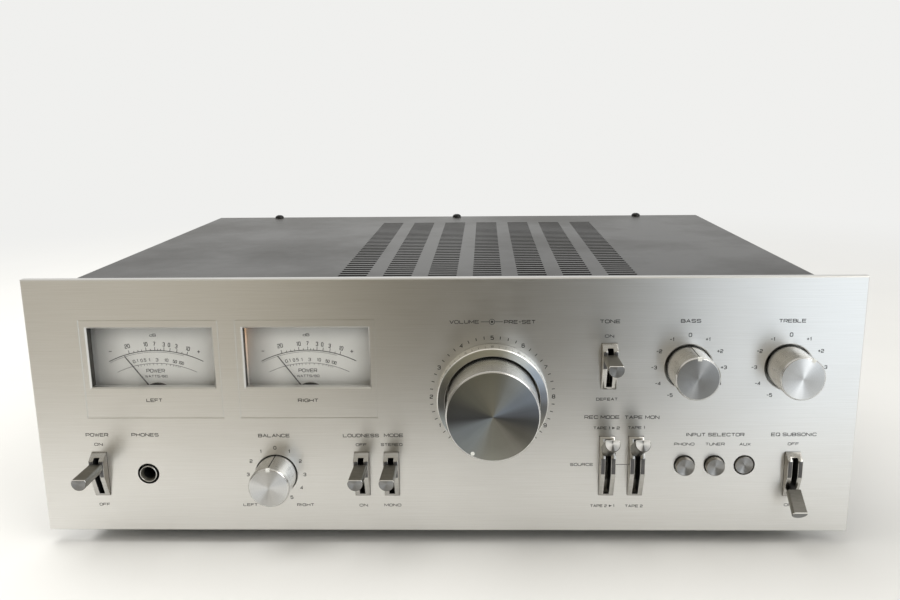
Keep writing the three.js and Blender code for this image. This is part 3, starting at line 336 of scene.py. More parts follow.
# Each character is drawn in lines on a unit square: squared rounds and straight strokes of one weight.
letter_lines = {
    "A": "0,0 .5,1 1,0|.18,.34 .82,.34", "E": "1,1 0,1 0,0 1,0|0,.5 .9,.5", "F": "1,1 0,1 0,0|0,.5 .85,.5",
    "B": "0,.5 .78,.5 1,.38 1,.12 .8,0 0,0 0,1 .76,1 .94,.88 .94,.62 .76,.5",
    "C": "1,.78 .93,.93 .75,1 .25,1 .07,.93 0,.75 0,.25 .07,.07 .25,0 .75,0 .93,.07 1,.22",
    "D": "0,.5 0,1 .7,1 .92,.92 1,.72 1,.28 .92,.08 .7,0 0,0 0,.5",
    "G": "1,.78 .93,.93 .75,1 .25,1 .07,.93 0,.75 0,.25 .07,.07 .25,0 .75,0 .93,.07 1,.25 1,.46 .55,.46",
    "H": "0,0 0,1|1,0 1,1|0,.5 1,.5", "I": ".5,0 .5,1", "K": "0,0 0,1|1,1 .02,.42|.3,.58 1,0", "L": "0,1 0,0 1,0",
    "M": "0,0 0,1 .5,.25 1,1 1,0", "N": "0,0 0,1 1,0 1,1", "T": "0,1 1,1|.5,1 .5,0", "V": "0,1 .5,0 1,1",
    "O": ".5,1 .75,1 .93,.93 1,.75 1,.25 .93,.07 .75,0 .25,0 .07,.07 0,.25 0,.75 .07,.93 .25,1 .5,1",
    "P": "0,0 0,1 .76,1 .94,.93 1,.78 1,.64 .94,.49 .76,.42 0,.42",
    "S": ".97,.8 .9,.94 .74,1 .24,1 .06,.93 0,.8 0,.7 .08,.57 .26,.52 .74,.48 .92,.43 1,.3 1,.2 .93,.06 .74,0 .24,0 "
         ".08,.06 0,.2",
    "U": "0,1 0,.25 .07,.07 .25,0 .75,0 .93,.07 1,.25 1,1", "W": "0,1 .25,0 .5,.85 .75,0 1,1", "X": "0,0 1,1|0,1 1,0",
    "Y": "0,1 .5,.5 1,1|.5,.5 .5,0", "/": "0,0 1,1", "+": "0,.5 1,.5|.5,.12 .5,.88", "-": "0,.5 1,.5",
    ".": ".2,.07 .8,.07", "d": "1,1 1,0 .25,0 .07,.07 0,.22 0,.4 .07,.55 .25,.62 1,.62", "1": ".1,.78 .6,1 .6,0",
    "2": "0,.78 .07,.93 .25,1 .75,1 .93,.93 1,.78 1,.66 .93,.54 .75,.49 .25,.44 .07,.38 0,.26 0,0 1,0",
    "3": "0,.8 .08,.94 .25,1 .75,1 .94,.93 .98,.78 .94,.6 .75,.52 .35,.52|.75,.52 .95,.44 1,.28 .93,.07 .75,0 .22,0 "
         ".07,.06 0,.2",
    "4": ".75,0 .75,1 0,.3 1,.3", "7": "0,1 1,1 .98,.84 .44,.3 .38,0",
    "5": ".95,1 .06,1 .03,.54 .25,.6 .75,.6 .94,.52 1,.38 1,.2 .93,.06 .75,0 .22,0 .06,.06 0,.18",
    "6": ".95,.84 .85,.97 .7,1 .28,1 .07,.92 0,.72 0,.25 .07,.07 .25,0 .75,0 .93,.07 1,.22 1,.36 .93,.5 .75,.57 "
         ".02,.57",
    "8": ".5,1 .75,1 .92,.94 .96,.78 .92,.6 .75,.53 .25,.53 .08,.6 .04,.78 .08,.94 .25,1 .5,1|"
         ".5,.53 .75,.53 .94,.46 1,.3 .94,.06 .75,0 .25,0 .06,.06 0,.3 .06,.46 .25,.53 .5,.53",
    "Ω": "0,0 .3,0 .3,.18 .07,.4 0,.62 .12,.88 .35,1 .65,1 .88,.88 1,.62 .93,.4 .7,.18 .7,0 1,0",
}
letter_points = {character: [[tuple(float(number) for number in point.split(",")) for point in line.split()]
                             for line in lines.split("|")] for character, lines in letter_lines.items()}
letter_points["R"] = letter_points["P"] + [[(0.55, 0.42), (1, 0)]]
letter_points["0"] = letter_points["O"]
letter_points["Q"] = letter_points["O"] + [[(0.62, 0.3), (1.02, -0.06)]]
letter_points["9"] = [[(1 - x, 1 - y) for x, y in line] for line in letter_points["6"]]
letter_widths = {"I": 0.14, "1": 0.5, ".": 0.3, "-": 0.6, "+": 0.75, "M": 1.15, "W": 1.2, "/": 0.6, "T": 0.95,
                 **{figure: 0.8 for figure in "0234567890"}}
letter_gap, word_gap, open_form = 0.3, 0.55, 0.95


def word_lines(words, across, up, width, height, tilt=0):
    """The lines of a word, its middle at (across, up), turned clockwise by tilt degrees."""
    place, drawn = 0.0, []
    for character in words:
        if character == " ":
            place += word_gap
            continue
        wide = letter_widths.get(character, 1.0)
        drawn += [[(place + x * wide, y - 0.5) for x, y in line] for line in letter_points[character]]
        place += wide + letter_gap
    whole = max(place - letter_gap, 0.01)
    stretch = width / whole if width else height * open_form
    cosine, sine = math.cos(math.radians(tilt)), math.sin(math.radians(tilt))
    return [[(across + (x - whole / 2) * stretch * cosine + y * height * sine,
              up - (x - whole / 2) * stretch * sine + y * height * cosine) for x, y in line] for line in drawn]


def round_places(centre, radius, angles):
    """Places round a centre, by angles in degrees clockwise from the top."""
    return [(centre[0] + radius * math.sin(math.radians(angle)), centre[1] + radius * math.cos(math.radians(angle)))
            for angle in angles]


def arc_line(centre, radius, start, end, steps=40):
    return round_places(centre, radius, [start + (end - start) * i / steps for i in range(steps + 1)])


def face_outwards(mesh, merge=0.0):
    shape = bmesh.new()
    shape.from_mesh(mesh)
    if merge:
        bmesh.ops.remove_doubles(shape, verts=shape.verts, dist=merge)
    bmesh.ops.recalc_face_normals(shape, faces=shape.faces)
    shape.to_mesh(mesh)
    shape.free()


def ink_film(name, entries, lines, shapes, depth, finish=ink, thick=0.03, weight=0.22):
    """entries: (words, across, up, width or None, height, tilt); lines: (points, width); shapes: outlines."""
    points, faces = [], []
    strips = [*lines, *((line, entry[4] * weight) for entry in entries for line in word_lines(*entry))]
    for line, width in strips:
        start, count = len(points), len(line)
        for i, (x, z) in enumerate(line):
            before, after = line[max(i - 1, 0)], line[min(i + 1, count - 1)]
            first = Vector((x - before[0], z - before[1])).normalized() if i else None
            second = Vector((after[0] - x, after[1] - z)).normalized() if i < count - 1 else None
            first, second = first or second, second or first
            normal = Vector((-(first.y + second.y), first.x + second.x)).normalized()
            reach = width / 2 / max(normal.dot(Vector((-first.y, first.x))), 0.45)
            for side in (reach, -reach):
                points += [at(x + normal.x * side, level, z + normal.y * side) for level in (depth - thick, depth)]
        for a in range(start, start + 4 * (count - 1), 4):
            b = a + 4
            faces += [(a, b, b + 2, a + 2), (a + 1, a + 3, b + 3, b + 1), (a, a + 1, b + 1, b),
                      (a + 2, b + 2, b + 3, a + 3)]
        end = start + 4 * (count - 1)
        faces += [(start, start + 2, start + 3, start + 1), (end, end + 1, end + 3, end + 2)]
    for outline in shapes:
        start, count = len(points), len(outline)
        points += [at(x, level, z) for level in (depth - thick, depth) for x, z in outline]
        ring = range(start, start + count)
        faces += [tuple(ring), tuple(i + count for i in reversed(ring))]
        faces += [(i, start + (i - start + 1) % count, start + (i - start + 1) % count + count, i + count)
                  for i in ring]
    mesh = mesh_of(points, faces)
    face_outwards(mesh)
    return show(name, mesh, finish)


def keep(piece, body, slot, *replaced):
    """What the piece rides on, its material slot (not used), and the solids that it stands for."""
    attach(piece, body)
    if replaced:
        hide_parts(*replaced)


volume_middle, balance_middle = (27.5, 79.6), (-93.1, 34.0)
bass_middle, treble_middle = (133.0, 95.9), (186.4, 95.9)
titles = (
    ("POWER", -191.9, 57.6, 12.3), ("PHONES", -165.0, 57.6, 14.9), ("BALANCE", -93.2, 57.1, 17.2),
    ("LOUDNESS", -45.0, 57.1, 19.6), ("MODE", -26.9, 57.2, 10.4), ("VOLUME", 12.6, 121.6, 15.5),
    ("PRE-SET", 42.2, 121.5, 16.5), ("TONE", 90.2, 121.6, 10.6), ("BASS", 133.0, 121.7, 10.4),
    ("TREBLE", 186.5, 121.6, 14.0), ("REC MODE", 87.2, 67.7, 18.8), ("TAPE MON", 108.9, 67.6, 18.6),
    ("INPUT SELECTOR", 149.1, 57.5, 31.4), ("EQ SUBSONIC", 191.7, 57.6, 24.3), ("LEFT", -158.0, 77.8, 8.5),
    ("RIGHT", -73.2, 77.6, 10.9))
settings = (
    ("ON", -191.6, 52.0, 4.4), ("OFF", -191.6, 15.9, 5.8), ("LEFT", -108.8, 15.7, 7.8), ("RIGHT", -77.6, 15.7, 9.4),
    ("OFF", -45.0, 51.7, 5.8), ("ON", -44.9, 15.5, 4.4), ("STEREO", -28.2, 51.8, 11.7), ("MONO", -28.5, 15.6, 9.2),
    ("ON", 90.1, 113.5, 4.6), ("DEFEAT", 89.6, 78.0, 11.4), ("TAPE 1", 87.3, 61.4, 9.0), ("2", 96.2, 61.4, 1.5),
    ("TAPE 2", 86.5, 15.3, 9.0), ("1", 95.0, 15.3, 0.7), ("TAPE 1", 106.2, 61.6, 9.2), ("TAPE 2", 106.1, 15.2, 9.6),
    ("SOURCE", 76.6, 40.0, 12.4), ("PHONO", 132.5, 52.0, 10.8), ("TUNER", 149.3, 52.0, 10.3), ("AUX", 165.6, 51.9, 5.9),
    ("OFF", 191.8, 52.1, 5.8), ("ON", 191.5, 16.0, 4.4))
words = [(*entry, 1.65) for entry in titles] + [(*entry, 1.35) for entry in settings]
for figure, (across, up) in enumerate(round_places(volume_middle, 33.2, range(-150, 151, 30))):
    words.append((str(figure), across, up, None, 1.9))
for side, sign in ((-1, "-"), (1, "+")):
    angles = range(0, side * 151, side * 30)
    for figure, (across, up) in enumerate(round_places(balance_middle, 15.9, angles)):
        if figure or side > 0:
            words.append((str(figure), across, up, None, 1.7))
    for middle in (bass_middle, treble_middle):
        for figure, (across, up) in enumerate(round_places(middle, 18.1, angles)):
            if figure:
                words.append((sign + str(figure), across + side * 0.5, up, None, 1.7))
            elif side > 0:
                words.append(("0", across, up, None, 1.9))
lines = [([(21.4, 121.6), (26.0, 121.6)], 0.3), ([(28.8, 121.6), (33.2, 121.6)], 0.3),
         (arc_line((27.4, 121.6), 1.45, 0, 360, 20), 0.3), ([(94.9, 40.0), (101.8, 40.0)], 0.3)]
shapes = [arc_line((27.4, 121.6), 0.7, 0, 330, 11), [(92.9, 62.1), (92.9, 60.7), (94.6, 61.4)],
          [(92.3, 16.0), (92.3, 14.6), (94.0, 15.3)]]
keep(ink_film("panel_lettering", words, lines, shapes, 0.0), "case", "front_aluminium")


# Volume scale: three short bars between each pair of figures, on the figures' own circle.
# They are laid out by a point for each bar, turned to face the knob.
def lay_out(layout, name, **values):
    """Runs a layout and keeps its result as a plain mesh object."""
    maker = put(name + "_maker", bpy.data.meshes.new(name + "_maker"))
    modifier = maker.modifiers.new("layout", "NODES")
    modifier.node_group = layout
    for item in layout.interface.items_tree:
        title = item.name.replace(" ", "_")
        if item.in_out == "INPUT" and title in values:
            modifier[item.identifier] = values[title]
    maker.update_tag()
    mesh = bpy.data.meshes.new_from_object(maker.evaluated_get(bpy.context.evaluated_depsgraph_get()))
    bpy.data.objects.remove(maker)
    return show(name, mesh)


def end_layout(layout, copies, finish, result):
    solid = add_node(layout, "GeometryNodeRealizeInstances", {"Geometry": copies.outputs[0]}).outputs[0]
    plug(result, add_node(layout, "GeometryNodeSetMaterial", {"Geometry": solid, "Material": finish}).outputs[0])


dial_marks, given, result = new_tree(
    "dial_marks", "GeometryNodeTree",
    [("Geometry", "Geometry"), ("Count", "Int"), ("Radius", "Float"), ("First Angle", "Float"), ("Step Angle", "Float"),
     ("Mark Length", "Float"), ("Mark Width", "Float"), ("Skip", "Int"), ("Centre", "Vector"), ("Finish", "Material")],
    ("Geometry", "Geometry"))
number = add_node(dial_marks, "GeometryNodeInputIndex").outputs[0]
angle = calculate(dial_marks, "ADD", given["First Angle"], times(dial_marks, number, given["Step Angle"]))
reach = add_node(dial_marks, "CombineXYZ", {
    axis: times(dial_marks, calculate(dial_marks, wave, angle), given["Radius"])
    for axis, wave in (("X", "SINE"), ("Z", "COSINE"))}).outputs[0]
spots = add_node(dial_marks, "GeometryNodePoints", {"Count": given["Count"], "Position": reach}).outputs[0]
on_figure = calculate(dial_marks, "LESS_THAN", calculate(dial_marks, "MODULO", number, given["Skip"]), 0.5)
spots = add_node(dial_marks, "GeometryNodeDeleteGeometry", {"Geometry": spots, "Selection": on_figure},
                 domain="POINT").outputs[0]
axes = split(dial_marks, add_node(dial_marks, "GeometryNodeInputPosition").outputs[0])
turned_by = add_node(dial_marks, "CombineXYZ", {"Y": calculate(dial_marks, "ARCTAN2", axes["X"], axes["Z"])}).outputs[0]
mark_size = add_node(dial_marks, "CombineXYZ", {"X": given["Mark Width"], "Z": given["Mark Length"]}, Y=0.00003)
mark = add_node(dial_marks, "GeometryNodeMeshCube", {"Size": mark_size.outputs[0]}).outputs["Mesh"]
copies = add_node(dial_marks, "GeometryNodeInstanceOnPoints",
                  {"Points": spots, "Instance": mark, "Rotation": turned_by}).outputs[0]
end_layout(dial_marks, add_node(dial_marks, "GeometryNodeTransform",
                                {"Geometry": copies, "Translation": given["Centre"]}), given["Finish"], result)
volume_marks = lay_out(dial_marks, "volume_scale_marks", Count=41, Radius=0.0333, First_Angle=math.radians(-150),
                       Step_Angle=math.radians(7.5), Mark_Length=0.0016, Mark_Width=0.00042, Skip=4,
                       Centre=at(volume_middle[0], -0.016, volume_middle[1]), Finish=ink)
keep(volume_marks, "case", "front_aluminium")


# Volume knob: turned from one bar of aluminium, with a spun face, a bright chamfer and a filled dot.
# It sits on the volume control's spindle inside the pre-set ring.
def settle(mesh, angle=30):
    """Merges doubles, turns the faces outwards and keeps edges over the angle sharp."""
    face_outwards(mesh, 1e-7)
    mesh.shade_smooth()
    mesh.set_sharp_from_angle(angle=math.radians(angle))
    return mesh


def turned_mesh(profile, steps, across=0, up=0, angle=30):
    """Points of [radius, depth] spun about a line along the depth, closed at the axis or on itself."""
    points, rings = [], []
    for radius, depth in profile:
        if radius < 1e-6:
            rings.append([len(points)] * steps)
            points.append(at(across, depth, up))
        else:
            rings.append(list(range(len(points), len(points) + steps)))
            turns = [2 * math.pi * i / steps for i in range(steps)]
            points += [at(across + radius * math.sin(turn), depth, up + radius * math.cos(turn)) for turn in turns]
    faces = []
    for first, second in zip(rings, rings[1:]):
        for i in range(steps):
            j = (i + 1) % steps
            face = tuple(dict.fromkeys([first[i], first[j], second[j], second[i]]))
            if len(face) > 2:
                faces.append(face)
    return settle(mesh_of(points, faces), angle)


def spun_finish(name, across, up, tone=0.62, sectors=()):
    """A lathe-faced metal end: fine rings round one centre, so its shine fans out in sectors; tones by bearing, when
    given, multiply its colour as a painted reflection.
    """
    finish, tree, surface = new_finish(name)
    flat = steer(tree, "MULTIPLY", steer(tree, "SUBTRACT", where(tree), at(across, 0, up)), (1, 0, 1))
    outwards = steer(tree, "NORMALIZE", flat)
    turned_out = add_node(tree, "VectorTransform", {"Vector": outwards}, vector_type="VECTOR",
                          convert_from="OBJECT", convert_to="WORLD").outputs[0]
    ring_place = add_node(tree, "CombineXYZ", {"X": steer(tree, "LENGTH", flat)}).outputs[0]
    rings = use_group(tree, ring_place, fine_lines, 0.00028, 1.0)
    fan = use_group(tree, steer(tree, "SCALE", outwards, 0.01), patches, 0.0035, 0.6)
    shade = calculate(tree, "MULTIPLY_ADD", fan, 0.35, times(tree, rings, 0.65))
    dark, light = tone * 0.86, tone * 1.1
    colour = blend_tones(tree, shade, (dark, dark, dark * 0.99), (light, light, light))
    if sectors:
        apart = split(tree, outwards)
        wheel = tone_wheel(tree, apart["X"], apart["Z"], sectors, "EASE")
        colour = blend_tones(tree, 1.0, colour, wheel, blend_type="MULTIPLY")
    feed(surface, Base_Color=colour, Roughness=calculate(tree, "MULTIPLY_ADD", shade, 0.08, 0.36), Metallic=1.0,
         Anisotropic=0.96, Tangent=turned_out, Normal=bump(tree, rings, 0.000003, 0.4))
    return finish


def lathe_finish(name, tone=(0.74, 0.735, 0.72), rough=0.24):
    """The turned side of a knob: fine lines round it, so its shine stretches along its length."""
    finish, tree, surface = new_finish(name)
    spot = where(tree)
    ring_place = add_node(tree, "CombineXYZ", {"X": split(tree, spot)["Y"]}).outputs[0]
    rings = use_group(tree, ring_place, fine_lines, 0.0003, 1.0)
    worn = calculate(tree, "MULTIPLY_ADD", use_group(tree, spot, patches, 0.02, 0.3), 0.03, rough)
    dark, light = tuple(c * 0.8 for c in tone), tuple(min(1, c * 1.1) for c in tone)
    feed(surface, Base_Color=blend_tones(tree, rings, dark, light), Metallic=1.0, Anisotropic=0.6,
         Roughness=calculate(tree, "MULTIPLY_ADD", rings, 0.05, worn),
         Tangent=add_node(tree, "CombineXYZ", Y=1.0).outputs[0], Normal=bump(tree, rings, 0.000003, 0.4))
    return finish


def face_slots(mesh, *tests):
    """Each face takes the first finish, or the one that goes with the first test it passes."""
    for face in mesh.polygons:
        face.material_index = next((i + 1 for i, test in enumerate(tests) if test(face)), 0)


knob_side = lathe_finish("turned_knob_side")
white_fill = toned_finish("white_fill", (0.80, 0.80, 0.77), (0.70, 0.69, 0.65), patches, 0.001, 0.5, Roughness=0.5)
# Tones by bearing round the volume knob, multiplied into its face and the ring's face: a painted reflection, light at
# the top and bottom and dark at the left and right.
painted_reflection_sectors = ((-178, (0.95, 0.95, 0.86)), (-140, (0.62, 0.66, 0.66)), (-115, (0.58, 0.62, 0.64)),
               (-93, (0.20, 0.20, 0.20)), (-78, (0.24, 0.24, 0.23)), (-45, (0.52, 0.52, 0.45)),
               (0, (0.92, 0.90, 0.76)), (30, (0.60, 0.62, 0.60)), (62, (0.60, 0.66, 0.74)),
               (82, (0.36, 0.38, 0.42)), (97, (0.24, 0.24, 0.24)), (120, (0.42, 0.41, 0.37)),
               (150, (0.80, 0.79, 0.72)), (178, (0.95, 0.95, 0.86)))
mesh = turned_mesh(
    [(0, -30.46), (8, -30.46), (16, -30.46), (23.5, -30.46), (23.62, -30.42), (24.18, -29.86), (24.28, -29.7),
     (24.3, -29.4), (24.3, 2.6), (24.0, 3.0), (3, 3.0), (3, 6.0), (0, 6.0)], 160, *volume_middle)
face_slots(mesh, lambda face: face.normal.y < -0.99)
# The volume face's dark tone and the ring face's light one are painted reflection too.
volume_face = spun_finish("volume_face", *volume_middle, 0.42, painted_reflection_sectors)
keep(show("volume_knob_turned", mesh, knob_side, volume_face), "volume_knob", "turned_aluminium", "volume_knob")
mesh = turned_mesh([(0, -30.5), (0.95, -30.5), (1.05, -30.47), (1.05, -30.3), (0, -30.3)], 24,
                   *round_places(volume_middle, 22.3, [-152])[0])
keep(show("volume_index_dot", mesh, white_fill), "volume_knob", "turned_aluminium")

# Pre-set ring: a bevelled aluminium collar round the volume knob that limits its turn.
# Its polished edge catches the light; a sleeve behind it runs in the panel's opening.
polished_edge = toned_finish("polished_edge", (0.92, 0.91, 0.88), (0.66, 0.65, 0.62), patches, 0.0008, 0.3,
                             Roughness=0.3, Metallic=0.75)
mesh = turned_mesh(
    [(25.5, 5.4), (25.5, -8.85), (25.65, -9.0), (27.5, -9.0), (29.2, -9.0), (29.3, -8.96), (29.74, -8.52),
     (29.8, -8.3), (30.1, -0.9), (30.1, -0.35), (27.0, -0.3), (27.0, 5.4), (25.5, 5.4)], 160, *volume_middle, 24)
face_slots(mesh, lambda face: face.normal.y < -0.9, lambda face: face.normal.y < -0.4)
ring = show("preset_ring_turned", mesh, lathe_finish("ring_side", (0.84, 0.83, 0.79), 0.2),
            spun_finish("ring_face", *volume_middle, 0.88, painted_reflection_sectors), polished_edge)
keep(ring, "preset_ring", "turned_aluminium", "preset_ring")


# Balance, bass and treble knobs: turned aluminium with a fine line milled along the side.
# A white notch at the rim marks where each one points.
def loft(rings, angle=30):
    """Outlines of as many points, joined one to the next and closed at both ends."""
    count = len(rings[0])
    last = count * (len(rings) - 1)
    faces = [tuple(range(count)), tuple(last + i for i in reversed(range(count)))]
    for start in range(0, last, count):
        for i in range(count):
            j = (i + 1) % count
            faces.append((start + i, start + j, start + count + j, start + count + i))
    return settle(mesh_of([point for ring in rings for point in ring], faces), angle)


# Each knob's face takes its own tone of the same aluminium, dark on the bass and light on the treble: a painted
# reflection.
for name, middle, radius, reach_out, pointing, face_painted_reflection_tone in (
        ("balance", balance_middle, 11.2, 17.0, 0, 0.68), ("bass", bass_middle, 11.7, 20.0, 2, 0.36),
        ("treble", treble_middle, 11.7, 20.0, 26, 0.80)):
    mesh = turned_mesh(
        [(0, -reach_out), (radius * 0.5, -reach_out), (radius - 0.85, -reach_out), (radius - 0.7, -reach_out + 0.04),
         (radius - 0.06, -reach_out + 0.68), (radius, -reach_out + 0.9), (radius, 1.3), (radius - 0.25, 1.6),
         (3, 1.6), (3, 4.0), (0, 4.0)], 96, *middle)
    face_slots(mesh, lambda face: face.normal.y < -0.99)
    knob = show(name + "_knob_turned", mesh, knob_side, spun_finish(name + "_face", *middle, face_painted_reflection_tone))
    keep(knob, name + "_knob", "turned_aluminium", name + "_knob")
    sine, cosine = math.sin(math.radians(pointing)), math.cos(math.radians(pointing))
    for part, finish, half, low, high, front, back in (
            ("index_line", ink, 0.28, radius - 0.25, radius + 0.02, -reach_out + 1.9, 1.2),
            ("index_notch", white_fill, 1.05, radius - 1.9, radius + 0.03, -reach_out - 0.02, -reach_out + 1.2)):
        mesh = loft([[at(middle[0] + side * cosine + out * sine, depth, middle[1] - side * sine + out * cosine)
                      for side, out in ((-half, low), (half, low), (half, high), (-half, high))]
                     for depth in (front, back)])
        keep(show(name + "_" + part, mesh, finish), name + "_knob", "turned_aluminium")

# Lever housings: plated castings with a flat face between two slopes, slotted for the lever's arm.
# Each is held behind the panel by its flange; the slot's cheeks are coloured black as painted shade, and the flat face
# near-black as a painted dark reflection.
plated, tree, surface = new_finish("plated_casting")
spot = where(tree)
grain = use_group(tree, spot, fine_lines, 0.012, 0.0003)
worn = use_group(tree, spot, patches, 0.006, 0.6)
cast_tone = blend_tones(tree, grain, (0.44, 0.43, 0.405), (0.54, 0.53, 0.51))
# Sides facing straight left or right are painted darker, as shade.
sideways = calculate(tree, "ABSOLUTE", split(tree, where(tree, "Normal"))["X"])
outer_side_painted_shade = calculate(tree, "GREATER_THAN", sideways, 0.9)
feed(surface, Base_Color=blend_tones(tree, outer_side_painted_shade, cast_tone, (0.27, 0.25, 0.22)), Metallic=1.0,
     Roughness=calculate(tree, "MULTIPLY_ADD", worn, 0.12, 0.16), Normal=bump(tree, grain, 0.000003, 0.3))
black = toned_finish("black_moulding", (0.012, 0.012, 0.012), (0.028, 0.027, 0.026), patches, 0.01, 0.4,
                     grit=(2500.0, 0.00003, 0.4), Roughness=0.5)
# The flat face's near-black is a painted dark reflection of the room.
painted_reflection_face = toned_finish("dark_housing_face", (0.07, 0.068, 0.07), (0.115, 0.11, 0.105), patches, 0.004, 0.5,
                         Roughness=0.3)


def box_mesh(low, high):
    corners = [at(x, y, z) for x in (low[0], high[0]) for y in (low[1], high[1]) for z in (low[2], high[2])]
    return settle(mesh_of(corners, [(0, 1, 3, 2), (4, 6, 7, 5), (0, 4, 5, 1), (2, 3, 7, 6), (0, 2, 6, 4),
                                    (1, 5, 7, 3)]))


def carve(mesh, cutters=(), bevel=0.0):
    """The mesh less each cutter, with its edges eased by the bevel in millimetres."""
    holder = put("carved", mesh)
    tools = [put("cutter", cutter) for cutter in cutters]
    for tool in tools:
        cut = holder.modifiers.new("cut", "BOOLEAN")
        cut.operation, cut.solver, cut.object = "DIFFERENCE", "EXACT", tool
    if bevel:
        ease = holder.modifiers.new("ease", "BEVEL")
        ease.width, ease.segments = bevel / 1000, 2
        ease.limit_method, ease.angle_limit = "ANGLE", math.radians(25)
    made = bpy.data.meshes.new_from_object(holder.evaluated_get(bpy.context.evaluated_depsgraph_get()))
    for used in [holder, *tools]:
        bpy.data.objects.remove(used)
    return settle(made)


two_way = {"top": 12.9, "face_top": 9.6, "face_bottom": 0.1, "bottom": -12.9, "reach": 5.2,
           "slot_top": 10.9, "slot_bottom": -11.2}
three_way = {"top": 17.4, "face_top": 7.0, "face_bottom": -2.0, "bottom": -17.4, "reach": 6.5,
             "slot_top": 15.9, "slot_bottom": -15.9}
switches = {
    "power": (-191.7, 34.5, two_way, 0), "loudness": (-45.0, 34.5, two_way, 0), "mode": (-28.5, 34.5, two_way, 0),
    "tone": (90.3, 96.7, two_way, 0), "subsonic": (191.8, 34.5, two_way, 38),
    "rec_mode": (90.3, 39.2, three_way, -32), "tape_monitor": (106.2, 39.2, three_way, -32),
}
for name, (across, up, form, _) in switches.items():
    outline = [(5.9, form["bottom"]), (-0.8, form["bottom"]), (-form["reach"], form["face_bottom"]),
               (-form["reach"], form["face_top"]), (-0.8, form["top"]), (5.9, form["top"])]
    body = loft([[at(across + side, depth, up + z) for depth, z in outline] for side in (-4.13, 4.13)])
    slot = box_mesh((across - 1.5, -20, up + form["slot_bottom"]), (across + 1.5, 20, up + form["slot_top"]))
    mesh = carve(body, [slot], 0.28)
    face_slots(mesh, lambda face: abs(face.normal.x) > 0.9 and abs(face.center.x * 1000 - across) < 3,
               lambda face: face.normal.y < -0.98)
    keep(show(name + "_housing_casting", mesh, plated, black, painted_reflection_face), "case", "plated_housing",
         name + "_lever_housing")

# Levers: turned aluminium with a flat milled along the top and a lathe-faced tip.
# A thin steel arm carries each one back to its trunnions inside the switch.
handle_side, tree, surface = new_finish("lever_side")
spot = where(tree)
handled = use_group(tree, spot, patches, 0.005, 0.6)
grain = use_group(tree, spot, fine_lines, 0.004, 0.0004)
# Faces turned towards the front are painted darker, as shade.
forwards = calculate(tree, "LESS_THAN", split(tree, where(tree, "Normal"))["Y"], -0.5)
lever_tone = blend_tones(tree, grain, (0.20, 0.195, 0.175), (0.27, 0.26, 0.235))
forward_painted_shade = steer(tree, "SCALE", lever_tone, calculate(tree, "MULTIPLY_ADD", forwards, -0.52, 1.0))
feed(surface, Base_Color=forward_painted_shade, Roughness=calculate(tree, "MULTIPLY_ADD", handled, 0.08, 0.34), Metallic=1.0,
     Normal=bump(tree, grain, 0.0000015, 0.2))
# Tones by bearing for the three-way levers' tips, light at the sides and dark at the top and bottom, are a painted
# reflection; the tips' tones differ by lever kind as painted reflection too.
painted_split_reflection = [(degrees, (tone,) * 3) for degrees, tone in (
    (-178, 0.3), (-150, 0.9), (-90, 1.1), (-28, 0.9), (0, 0.25), (28, 0.9), (90, 1.1), (150, 0.9), (178, 0.3))]
pivot_depth, reach_out, subsonic_reach = 14.4, 25.3, 19.5
around = sorted({*np.linspace(-180, 180, 41)[:-1], -51.9, 51.9})
for name, (across, up, form, rest) in switches.items():
    rise, root_gap, tip_painted_reflection_tone, tip_sectors = (6.0, 0.5, 0.30, ()) if form is two_way else (0.0, 1.7, 0.66, painted_split_reflection)
    root = -form["reach"] - root_gap - pivot_depth
    tip = -(subsonic_reach if name == "subsonic" else reach_out) - pivot_depth
    turn = Matrix.Rotation(math.radians(rest), 4, "X")
    pivot = at(across, pivot_depth, up)

    def turned(x, depth, z):
        return pivot + turn @ (Vector((x, depth, z)) / 1000)

    mesh = loft([[turned(radius * math.sin(math.radians(degrees)), depth,
                         rise + min(radius * math.cos(math.radians(degrees)), flat)) for degrees in around]
                 for depth, radius, flat in (
                     (root, 3.1, 1.5), (root, 3.65, 1.9), (root - 0.25, 3.9, 2.1), (tip + 0.3, 4.08, 2.1),
                     (tip + 0.1, 3.98, 2.02), (tip, 3.82, 1.86))], 25)
    tip_centre = turned(0, tip, rise)
    outward, upward = turn @ Vector((0, -1, 0)), turn @ Vector((0, 0, 1))
    # The upper part of the tip's chamfer takes the bright polished finish as a painted highlight.
    face_slots(mesh, lambda face: face.normal.dot(outward) > 0.98 and (face.center - tip_centre).length < 0.003,
               lambda face: (face.center - tip_centre).dot(outward) > -0.0003 and face.normal.dot(upward) > 0.2)
    tip_finish = spun_finish(name + "_lever_tip", tip_centre.x * 1000, (tip_centre.z - panel_edge) * 1000,
                             tip_painted_reflection_tone, tip_sectors)
    keep(show(name + "_lever_handle", mesh, handle_side, tip_finish, polished_edge), name + "_lever",
         "turned_aluminium", name + "_lever")
    arm_outline = [(0, -3.0), (root - 2.0, rise - 2.6), (root - 2.0, rise + 1.5), (0, 3.0), (3.0, 1.8), (3.6, 0),
                   (3.0, -1.8)]
    arm = loft([[turned(x, depth, z) for depth, z in arm_outline] for x in (-1.15, 1.15)])
    keep(show(name + "_lever_arm", arm, black), name + "_lever", "turned_aluminium")
    pin = loft([[at(across + x, pivot_depth + y, up + z) for y, z in round_places((0, 0), 1.45, range(0, 360, 18))]
                for x in (-5.15, 5.15)])
    keep(show(name + "_lever_trunnion", pin, plated), name + "_lever", "turned_aluminium")

